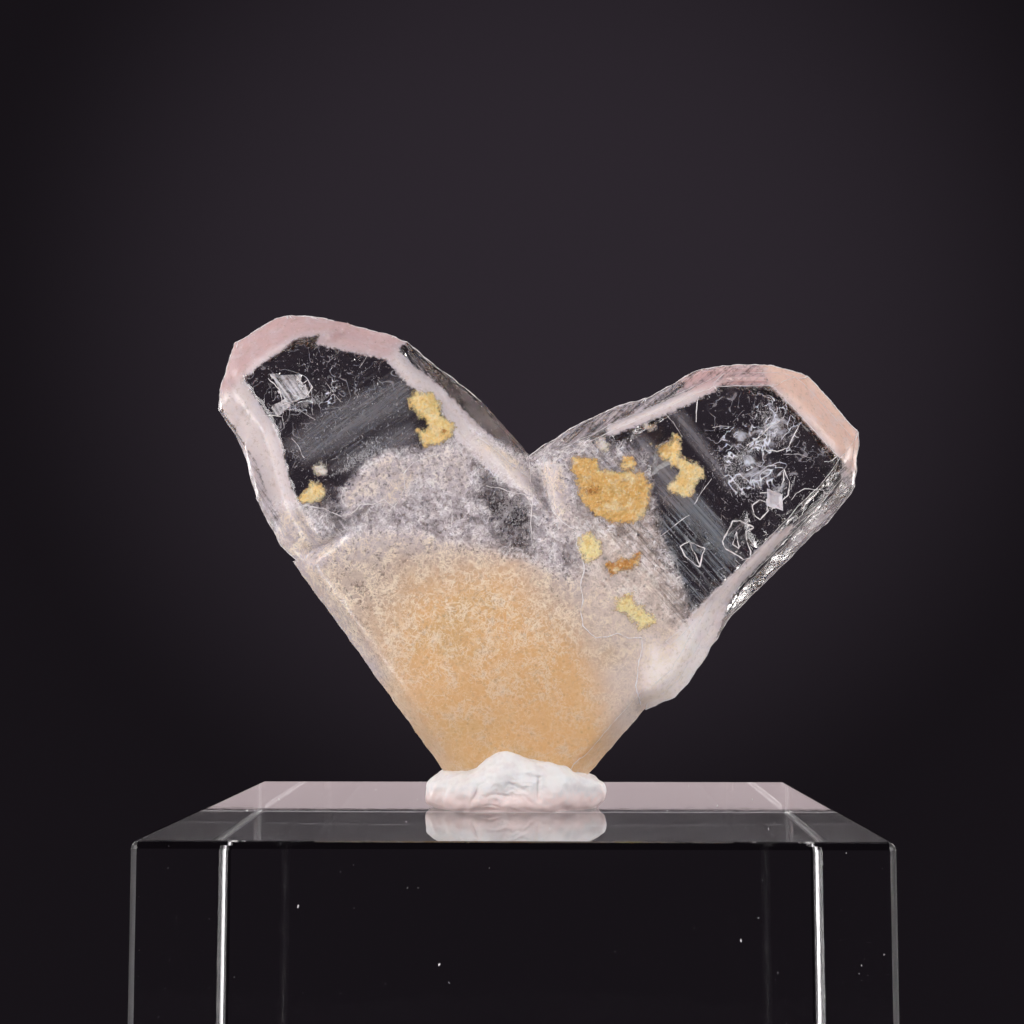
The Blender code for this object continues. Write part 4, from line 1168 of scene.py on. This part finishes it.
def rim_threads(bm, rim):
    """Thin white threads on the outline and round the right crystal's broad front face: frosted
    edges, with the light that the edges refract painted on as a highlight.
    """
    lines = bmesh.new()
    thick = lines.verts.layers.float.new("thick")
    copies = {}
    for edge in bm.edges:
        on_right = edge.verts[0].co.x > FRONT_LINES_FROM
        if edge[rim] != OUTLINE_RIM and not (edge[rim] == FRONT_RIM and on_right):
            continue
        for vert in edge.verts:
            if vert not in copies:
                copies[vert] = lines.verts.new(vert.co)
                copies[vert][thick] = LINE_WIDTHS[edge[rim]] * MM
        lines.edges.new([copies[vert] for vert in edge.verts])
    material = plain_finish("frosted_line_and_painted_edge_light")
    piece = new_piece("rim_lines", lines, material)
    grow(piece, line_tree(), {
        "Material": material, "Waver": 0.03 * MM, "Spacing": 0.16 * MM, "Sides": 5,
    })
    set_piece(piece)


def put_fields(mesh):
    """Stores what the quartz material reads: milk, veil, wisp, hatch, the frosting with its painted
    highlights, the crisp bands of painted highlight and painted reflection, and hue.
    """
    points = np.empty(len(mesh.vertices) * 3, np.float32)
    mesh.vertices.foreach_get("co", points)
    x, y, z = points.reshape(-1, 3).T / MM
    front = smooth((0.4 - y) / 0.8)
    for name, values in (
        ("milk", milk_at(x, z)), ("veil", strongest(x, z, VEILS) * front),
        ("wisp", strongest(x, z, WISPS) * front), ("hatch", strongest(x, z, HATCHED)),
    ):
        put_attribute(mesh, name, "FLOAT", "POINT", values)

    kind = np.empty(len(mesh.polygons), np.int32)
    mesh.attributes["facet_kind"].data.foreach_get("value", kind)
    kind = np.repeat(kind, 3)
    corner = np.empty(len(mesh.loops), np.int32)
    mesh.loops.foreach_get("vertex_index", corner)
    x, y, z = x[corner], y[corner], z[corner]
    hue = np.tile(LILAC, (len(x), 1))
    hue = overlaid(hue, zone(x, z, MILKY_ZONES[0][0], 5.0), BEIGE)
    hue = overlaid(hue, zone(x, z, CORE, 5.0), TAN)
    frost_and_painted_light = np.select([kind == BEVEL, kind == LEDGE], [0.14, 0.1], 0.0)
    painted_highlight_band = np.full(len(x), FAR_OUTSIDE)
    on_front = y < 0.35
    held = np.where(on_front, 1.0, np.where(kind > 0, BACK_SHARE, 0.0))
    for outline, weight, softness, colour in FROST_AND_PAINTED_LIGHT:
        if weight < 1.0:
            # Zones below weight 1 add frosting, which for the white, pink and snow zones is painted
            # highlight and painted reflection
            frost_and_painted_light = np.maximum(frost_and_painted_light, weight * zone(x, z, outline, softness) * held)
        else:
            # Weight 1 zones are crisp bands of painted highlight and painted reflection
            depth = signed_depth(x, z, outline) + np.where(on_front, 0.22, -0.3)
            painted_highlight_band = np.maximum(painted_highlight_band, np.where(held > 0.0, depth, FAR_OUTSIDE))
        # Each zone lays its colour on the hue, so the hue carries the painted highlight and painted
        # reflection colours among the crystal's own
        hue = overlaid(hue, zone(x, z, outline, softness + 0.6), colour)
    for index, (outline, largest, weight) in enumerate(PITS):
        frost_and_painted_light[kind == PIT_WALL + index] = weight
        hue[kind == PIT_WALL + index] = GREY_WHITE
    put_attribute(mesh, "frost_and_painted_light", "FLOAT", "CORNER", frost_and_painted_light)
    put_attribute(mesh, "painted_highlight_band", "FLOAT", "CORNER", painted_highlight_band)
    put_attribute(mesh, "hue", "FLOAT_COLOR", "CORNER", np.insert(hue, 3, 1.0, 1))


def crystal_skin(settings):
    """The twin's surface in fine triangles, with worn rims and fields for its milky parts."""
    bm = merged_copy(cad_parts["quartz_twin"])
    rim = mark_facets(bm)
    rims = nearest_edges(bm, lambda edge: edge[rim] > 0, 0.1)
    tree = BVHTree.FromBMesh(bm)
    levels = [worn_levels(tree, side) for side in (-1.0, 1.0)]
    cut_to_grid(bm, TWIN_LOW, TWIN_HIGH, settings.facet_size / MM)
    noise.seed_set(settings.seed)
    wear_down(bm, rims, levels, settings.rim_wear / MM)
    round_off(bm, settings.etching)
    rim_threads(bm, rim)
    piece = new_piece("quartz_twin_skin", bm, quartz_material())
    put_fields(piece.data)
    set_piece(piece, ["quartz_twin"])


def twin_surface():
    """The finished skin in millimetres, to find what lies on it or in it."""
    bm = in_millimetres(bpy.data.objects["quartz_twin_skin"].data)
    tree = BVHTree.FromBMesh(bm)
    bm.free()
    return tree


def front_level(tree, x, z):
    """The front surface's y at a place, or None beside the twin."""
    hit = tree.ray_cast(Vector((x, -10.0, z)), Vector((0.0, 1.0, 0.0)))[0]
    return None if hit is None else hit.y


def film(tree, order, outline, thickness, edge_hue, middle_hue, step):
    """One closed ragged film on the front face: a lumpy top, a bottom just inside and sides."""
    left, bottom = np.min(outline, 0) - FILM_MARGIN
    columns, rows = ((np.ptp(outline, 0) + 2.0 * FILM_MARGIN) / step).astype(int) + 1
    gx, gz = np.meshgrid(left + step * np.arange(columns), bottom + step * np.arange(rows))
    depth = signed_depth(gx, gz, outline)
    bm = bmesh.new()
    hue_layer = bm.verts.layers.float_color.new("hue")
    bare_layer = bm.verts.layers.float.new("bare")
    grid = {}
    for (row, column), inside in np.ndenumerate(depth):
        x, z = gx[row, column], gz[row, column]
        ragged = noise.noise(Vector((x * 2.2, order * 3.7, z * 2.2)))
        ragged += 0.5 * noise.noise(Vector((x * 6.0, order * 3.7, z * 6.0)))
        inside += 0.2 * ragged
        y = front_level(tree, x, z)
        if inside < 0.0 or y is None:
            continue
        lumps = noise.noise(Vector((x * 3.0, order, z * 3.0)))
        lumps += 0.9 * noise.noise(Vector((x * 8.0, order, z * 8.0)))
        swell = min(1.0, inside / 0.18) ** 0.5
        proud = thickness * swell * max(0.25, 0.85 + 0.7 * lumps)
        share = float(np.clip(inside / 0.5 + 0.9 * lumps, 0.0, 1.0))
        hue = [a + (b - a) * share for a, b in zip(edge_hue, middle_hue)]
        grid[row, column] = pair = bm.verts.new((x, y - proud, z)), bm.verts.new((x, y + 0.03, z))
        for vert in pair:
            vert[hue_layer] = (*hue, 1.0)
            vert[bare_layer] = max(0.0, 1.0 - inside / 0.55)
    for row, column in grid:
        cell = [(row, column), (row, column + 1), (row + 1, column + 1), (row + 1, column)]
        if all(key in grid for key in cell):
            bm.faces.new([grid[key][0] for key in cell])
            bm.faces.new([grid[key][1] for key in reversed(cell)])
    below = dict(grid.values())
    for edge in [edge for edge in bm.edges if edge.is_boundary]:
        a, b = edge.verts
        if a in below and b in below:
            corners = list(edge.link_faces[0].verts)
            first, second = (a, b) if corners[(corners.index(a) + 1) % 4] == b else (b, a)
            bm.faces.new((second, first, below[first], below[second]))
    loose = [vert for vert in bm.verts if not vert.link_faces]
    bmesh.ops.delete(bm, geom=loose, context="VERTS")
    shade_smooth(bm)
    return bm


def stains(settings):
    """Thin grainy films that hug the front faces, one closed piece for each patch."""
    tree = twin_surface()
    material = stain_material()
    grains = grain_tree()
    for order, (name, patch) in enumerate(STAINS.items()):
        piece = new_piece(name, film(tree, order, *patch, settings.film_step / MM), material)
        grow(piece, grains, {
            "Density": settings.grain_density, "Seed": settings.seed + order, "Material": material,
            "Smallest": 0.015 * MM, "Largest": 0.06 * MM,
        })
        set_piece(piece)


def growth_lines(settings):
    """Raised white lines where growth layers and pits end on the front faces."""
    tree = twin_surface()
    bm = bmesh.new()
    layer = bm.verts.layers.float.new("thick")
    for points, thick in GROWTH_LINES:
        last = None
        for (ax, az), (bx, bz) in zip(points, points[1:]):
            steps = max(1, int(math.hypot(bx - ax, bz - az) / LINE_STEP))
            for step in range(0 if last is None else 1, steps + 1):
                x = ax + (bx - ax) * step / steps
                z = az + (bz - az) * step / steps
                y = front_level(tree, x, z)
                if y is None:
                    continue
                vert = bm.verts.new((x, y, z))
                vert[layer] = thick * LINE_SHARE * MM
                if last is not None:
                    bm.edges.new((last, vert))
                last = vert
    material = plain_finish("frosted_line_and_painted_edge_light")
    piece = new_piece("growth_lines", bm, material)
    grow(piece, line_tree(), {"Material": material, "Waver": settings.line_waver})
    set_piece(piece)


def new_flakes():
    """An empty bmesh for points that each carry a flake's size and turn."""
    bm = bmesh.new()
    for name in ("size", "turn"):
        bm.verts.layers.float_vector.new(name)
    return bm


def add_flake(bm, place, size, stretch, rng):
    """A point for one flake, turned at random and up to so much longer than it is wide."""
    layers = bm.verts.layers.float_vector
    vert = bm.verts.new(place)
    vert[layers["size"]] = Vector((size * (1.0 + stretch * rng.random()), size, size)) * MM
    vert[layers["turn"]] = Vector([rng.uniform(0.0, FULL_TURN) for axis in range(3)])


def finish_flakes(name, bm, thickness, material):
    """One piece of flakes, so thick against their width."""
    piece = new_piece(name, bm, material)
    grow(piece, flake_tree(), {"Thickness": thickness, "Material": material})
    set_piece(piece)


def spread(rng, depth, bearing, half_width, near, far):
    """Draws places in a crystal, along its axis from the corner where the twins meet."""
    axis = in_plane(bearing)
    across = Vector((-axis.z, 0.0, axis.x))

    def draw():
        place = TWIN_CORNER + axis * rng.uniform(near, far)
        place = place + across * rng.uniform(-half_width, half_width)
        return place + Vector((0.0, rng.uniform(-depth, depth), 0.0))

    return draw


def sheet(rng, centre, along, up, length, height, bend):
    """Draws places on a bent sheet, as a healed crack has."""
    along, up = Vector(along).normalized(), Vector(up).normalized()
    away = along.cross(up)

    def draw():
        u, v = rng.gauss(0.0, 0.45), rng.gauss(0.0, 0.45)
        place = Vector(centre) + along * u * length + up * v * height
        ripple = noise.noise(place * 0.9) * 0.6
        return place + away * (bend * (u * u + v * v) + ripple + rng.gauss(0.0, 0.05))

    return draw


def inside_points(tree, count, draw):
    """Points drawn at random that lie well inside the crystal."""
    found = []
    tries = 0
    while len(found) < count and tries < count * 30:
        tries += 1
        place = draw()
        front, back = (
            tree.ray_cast(Vector((place.x, -10.0 * way, place.z)), Vector((0.0, way, 0.0)))[0]
            for way in (1.0, -1.0)
        )
        if front is None or back is None or not front.y + 0.15 < place.y < back.y - 0.15:
            continue
        if tree.find_nearest(place)[3] > 0.12:
            found.append(place)
    return found


def inclusions(settings):
    """Specks, needles and healed cracks inside both crystals and the milky root's edge."""
    tree = twin_surface()
    rng = random.Random(settings.seed)
    material = plain_finish("white_inclusions")
    for name, way, groups in (
        ("inclusions_tips", spread, TIPS), ("inclusions_cloud", sheet, CLOUD),
        ("inclusions_seam", sheet, SEAM),
    ):
        bm = new_flakes()
        for count, *where, smallest, largest, stretch in groups:
            count = int(count * settings.flake_share)
            for place in inside_points(tree, count, way(rng, *where)):
                size = smallest + (largest - smallest) * rng.random() ** 2.5
                add_flake(bm, place, size, stretch, rng)
        finish_flakes(name, bm, 0.3, material)


# Putty and block

def putty(settings):
    """A squashed lump, folded over itself in front and pressed up round the root."""
    noise.seed_set(settings.seed)
    bm = bmesh.new()
    bmesh.ops.create_icosphere(bm, subdivisions=7, radius=1.0)
    square = 3.2
    for vert in bm.verts:
        n = vert.co.normalized()
        turn = math.atan2(n.y, n.x)
        bulge = max(0.0, 1.0 - abs(n.z) ** square) ** (1.0 / square)
        wobble = 1.0 + 0.035 * math.cos(3.0 * turn + 0.6) + 0.02 * math.cos(7.0 * turn + 1.9)
        x = 5.35 * bulge * math.cos(turn) * wobble
        y = 4.15 * bulge * math.sin(turn) * wobble

        def hump(cx, cy, wide, deep):
            return math.exp(-(((x - cx) / wide) ** 2) - ((y - cy) / deep) ** 2)

        top = 2.15 + 1.45 * hump(-0.6, -2.9, 1.5, 1.7) + 1.0 * hump(2.2, -2.8, 1.9, 1.7)
        top += 0.3 * hump(-4.0, 0.0, 1.0, 9.0) + 0.7 * hump(0.8, 2.9, 2.6, 1.5)
        z = 1.0 + (top - 1.0) * n.z if n.z > 0.0 else max(0.0, 1.0 + 1.5 * n.z)
        place = Vector((x - 0.28, y - 0.25, z))
        lumps = noise.noise(place * 0.9) * 0.2 + noise.noise(place * 2.3) * 0.07
        sink = 0.0
        if place.y < 0.0:
            warp = noise.noise_vector(place * 0.8) * 0.28 + noise.noise_vector(place * 2.6) * 0.09
            px, pz = place.x + warp.x, place.z + warp.z
            for (ax, az), (bx, bz), wide, depth in FOLDS:
                ex, ez = bx - ax, bz - az
                along = ((px - ax) * ex + (pz - az) * ez) / (ex * ex + ez * ez)
                along = min(1.0, max(0.0, along))
                gap = math.hypot(px - ax - along * ex, pz - az - along * ez)
                taper = 0.35 + 0.65 * math.sin(math.pi * min(1.0, max(0.0, 0.1 + 0.8 * along)))
                sink += depth * taper * math.exp(-((gap / wide) ** 2))
            hollow = math.exp(-(((px + 0.3) / 1.7) ** 2) - ((pz - 1.25) / 0.7) ** 2)
            sink += hollow * (0.22 + 0.2 * abs(noise.noise(place * 3.4)))
        shrink = 1.0 - sink / 4.5
        lift = 0.0 if place.z < 0.02 else 1.0
        place = Vector((place.x + n.x * lumps * lift, place.y * shrink + n.y * lumps * lift,
                        place.z + n.z * lumps * lift))
        vert.co = place + Vector((0.0, 0.0, BLOCK_TOP))
    shade_smooth(bm)
    set_piece(new_piece("putty_lump", bm, putty_material()), ["mounting_putty"])


def block(settings):
    """The block keeps its shape; it gets its finish and a little dust."""
    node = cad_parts["display_block"]
    material = acrylic_material()
    for slot in node.material_slots:
        slot.material = material
    rng = random.Random(settings.seed + 7)
    bm = new_flakes()
    half = BLOCK_HALF - 0.6
    for index in range(settings.dust_count):
        side = rng.choice(("front", "top", "left", "right", "back"))
        u, v = rng.uniform(-half, half), rng.uniform(0.8, BLOCK_TOP - 0.8)
        place = {
            "front": (u, -BLOCK_HALF, v), "back": (u, BLOCK_HALF, v), "left": (-BLOCK_HALF, u, v),
            "right": (BLOCK_HALF, u, v), "top": (u, rng.uniform(-half, half), BLOCK_TOP),
        }[side]
        add_flake(bm, place, 0.014 + 0.07 * rng.random() ** 7, 1.0, rng)
    finish_flakes("block_dust", bm, 0.5, plain_finish("pale_dust"))


# Studio


def aim(obj, target):
    """Points a light or camera at a place."""
    obj.rotation_euler = (Vector(target) - obj.location).to_track_quat("-Z", "Y").to_euler()


def studio(settings):
    """A pale round floor, soft lights at the sides and a dark room behind."""
    scene = bpy.context.scene
    bm = bmesh.new()
    bmesh.ops.create_cone(bm, cap_ends=True, segments=128, radius1=34.0, radius2=34.0, depth=4.0)
    bmesh.ops.translate(bm, verts=bm.verts, vec=(0.0, 0.0, -2.02))
    rim = [edge for edge in bm.edges if abs(edge.calc_face_angle(0.0)) > 1.0]
    bmesh.ops.bevel(bm, geom=rim, offset=0.6, segments=3, profile=0.5, affect="EDGES")
    floor = new_piece("studio_floor", bm, plain_finish("pale_studio_floor"))

    world = bpy.data.worlds.new("dark_room")
    scene.world = world
    world.use_nodes = True
    background = world.node_tree.nodes["Background"]
    nodes = Nodes(world.node_tree)
    way = nodes.add("ShaderNodeTexCoord", output="Generated")
    ahead = Vector((0.0, 1.0, 0.2)).normalized()
    facing = nodes.add(
        "ShaderNodeVectorMath", {0: way, 1: ahead}, operation="DOT_PRODUCT", output="Value"
    )
    edge = tuple(part * ROOM_EDGE_SHARE for part in settings.room_colour)
    wall = nodes.mix(nodes.mapped(facing, *ROOM_FADE), edge, tuple(settings.room_colour))
    world.node_tree.links.new(wall, background.inputs["Color"])
    background.inputs["Strength"].default_value = 1.0

    for name, (place, (width, height), power, colour) in LIGHTS.items():
        data = bpy.data.lights.new(name, "AREA")
        data.shape = "RECTANGLE"
        data.size = width * MM
        data.size_y = height * MM
        data.energy = power * settings.light_share
        data.color = colour
        light = bpy.data.objects.new(name, data)
        scene.collection.objects.link(light)
        light.location = Vector(place) * MM
        aim(light, LIGHTS_AIM)
        light.visible_camera = False
        light.visible_transmission = name not in ("strip_behind", "softbox_top")
        light.visible_glossy = name != "softbox_top"

    data = bpy.data.cameras.new("photograph_camera")
    data.sensor_width = 36.0
    data.lens = settings.lens
    data.clip_start = 0.005
    data.clip_end = 10.0
    camera = bpy.data.objects.new("photograph_camera", data)
    scene.collection.objects.link(camera)
    camera.location = Vector(CAMERA_PLACE) * MM
    camera.rotation_euler = CAMERA_TURN
    scene.camera = camera
    scene.view_settings.view_transform = "Standard"


# Settings, operators and panel


class QuartzTwinSettings(bpy.types.PropertyGroup):
    """What a user would change on the twin."""

    facet_size: bpy.props.FloatProperty(
        name="Facet size", description="Longest side of the skin's triangles", default=0.32 * MM,
        unit="LENGTH",
    )
    rim_wear: bpy.props.FloatProperty(
        name="Rim wear", description="How far worn rims wander", default=0.07 * MM, unit="LENGTH"
    )
    etching: bpy.props.IntProperty(
        name="Etching", description="How often milky and frosted parts are rounded", default=14
    )
    film_step: bpy.props.FloatProperty(
        name="Film step", description="Spacing of the iron film's points", default=0.07 * MM,
        unit="LENGTH",
    )
    grain_density: bpy.props.FloatProperty(
        name="Grain density", description="Grains on each square metre of film", default=2.2e7
    )
    line_waver: bpy.props.FloatProperty(
        name="Line waver", description="How far growth lines wander", default=0.2 * MM,
        unit="LENGTH",
    )
    flake_share: bpy.props.FloatProperty(
        name="Flakes", description="Share of the inclusions that are made", default=1.0,
        subtype="FACTOR",
    )
    seed: bpy.props.IntProperty(name="Seed", description="Seed of everything random", default=11)


class BlockSettings(bpy.types.PropertyGroup):
    """What a user would change on the block."""

    dust_count: bpy.props.IntProperty(name="Dust", description="Specks on the block", default=260)
    seed: bpy.props.IntProperty(name="Seed", description="Seed of the dust", default=4)


class StudioSettings(bpy.types.PropertyGroup):
    """What a user would change in the studio."""

    room_colour: bpy.props.FloatVectorProperty(
        name="Room", description="Colour of the dark room", default=(0.0257, 0.0202, 0.0268),
        subtype="COLOR", size=3,
    )
    light_share: bpy.props.FloatProperty(
        name="Light", description="Strength of all lights", default=0.07, subtype="FACTOR"
    )
    lens: bpy.props.FloatProperty(
        name="Lens", description="Focal length of the camera", default=58.7, unit="CAMERA"
    )


class QUARTZ_OT_skin(bpy.types.Operator):
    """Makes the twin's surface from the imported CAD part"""

    bl_idname = "quartz_twin.skin"
    bl_label = "Crystal surface"

    def execute(self, context):
        crystal_skin(context.scene.quartz_twin)
        return {"FINISHED"}


class QUARTZ_OT_stains(bpy.types.Operator):
    """Makes the iron oxide films on the front faces"""

    bl_idname = "quartz_twin.stains"
    bl_label = "Iron oxide films"

    def execute(self, context):
        stains(context.scene.quartz_twin)
        return {"FINISHED"}


class QUARTZ_OT_lines(bpy.types.Operator):
    """Makes the white growth lines and pit rims"""

    bl_idname = "quartz_twin.lines"
    bl_label = "Growth lines"

    def execute(self, context):
        growth_lines(context.scene.quartz_twin)
        return {"FINISHED"}


class QUARTZ_OT_inclusions(bpy.types.Operator):
    """Makes the specks and healed cracks inside the crystals"""

    bl_idname = "quartz_twin.inclusions"
    bl_label = "Inclusions"

    def execute(self, context):
        inclusions(context.scene.quartz_twin)
        return {"FINISHED"}


class QUARTZ_OT_putty(bpy.types.Operator):
    """Makes the folded lump of mounting putty"""

    bl_idname = "quartz_twin.putty"
    bl_label = "Putty"

    def execute(self, context):
        putty(context.scene.quartz_twin)
        return {"FINISHED"}


class QUARTZ_OT_block(bpy.types.Operator):
    """Finishes the clear block and dusts it"""

    bl_idname = "quartz_twin.block"
    bl_label = "Display block"

    def execute(self, context):
        block(context.scene.quartz_block)
        return {"FINISHED"}


class QUARTZ_OT_studio(bpy.types.Operator):
    """Sets up the floor, the lights and the camera"""

    bl_idname = "quartz_twin.studio"
    bl_label = "Studio"

    def execute(self, context):
        studio(context.scene.quartz_studio)
        return {"FINISHED"}


OPERATORS = (
    QUARTZ_OT_skin, QUARTZ_OT_stains, QUARTZ_OT_lines, QUARTZ_OT_inclusions, QUARTZ_OT_putty,
    QUARTZ_OT_block, QUARTZ_OT_studio,
)


class QUARTZ_PT_panel(bpy.types.Panel):
    """Lists the pieces and their settings"""

    bl_idname = "QUARTZ_PT_panel"
    bl_label = "Japan Law Twin Quartz"
    bl_space_type = "VIEW_3D"
    bl_region_type = "UI"
    bl_category = "Quartz Twin"

    def draw(self, context):
        for group in ("quartz_twin", "quartz_block", "quartz_studio"):
            box = self.layout.box()
            settings = getattr(context.scene, group)
            for name in settings.__annotations__:
                box.prop(settings, name)
        for operator in OPERATORS:
            self.layout.operator(operator.bl_idname)


CLASSES = (QuartzTwinSettings, BlockSettings, StudioSettings, *OPERATORS, QUARTZ_PT_panel)


def register():
    for item in CLASSES:
        bpy.utils.register_class(item)
    bpy.types.Scene.quartz_twin = bpy.props.PointerProperty(type=QuartzTwinSettings)
    bpy.types.Scene.quartz_block = bpy.props.PointerProperty(type=BlockSettings)
    bpy.types.Scene.quartz_studio = bpy.props.PointerProperty(type=StudioSettings)


def unregister():
    del bpy.types.Scene.quartz_twin
    del bpy.types.Scene.quartz_block
    del bpy.types.Scene.quartz_studio
    for item in reversed(CLASSES):
        bpy.utils.unregister_class(item)


def main():
    register()
    for make in (
        bpy.ops.quartz_twin.skin, bpy.ops.quartz_twin.stains, bpy.ops.quartz_twin.lines,
        bpy.ops.quartz_twin.inclusions, bpy.ops.quartz_twin.putty, bpy.ops.quartz_twin.block,
        bpy.ops.quartz_twin.studio,
    ):
        make()


if __name__ == "__main__":
    main()
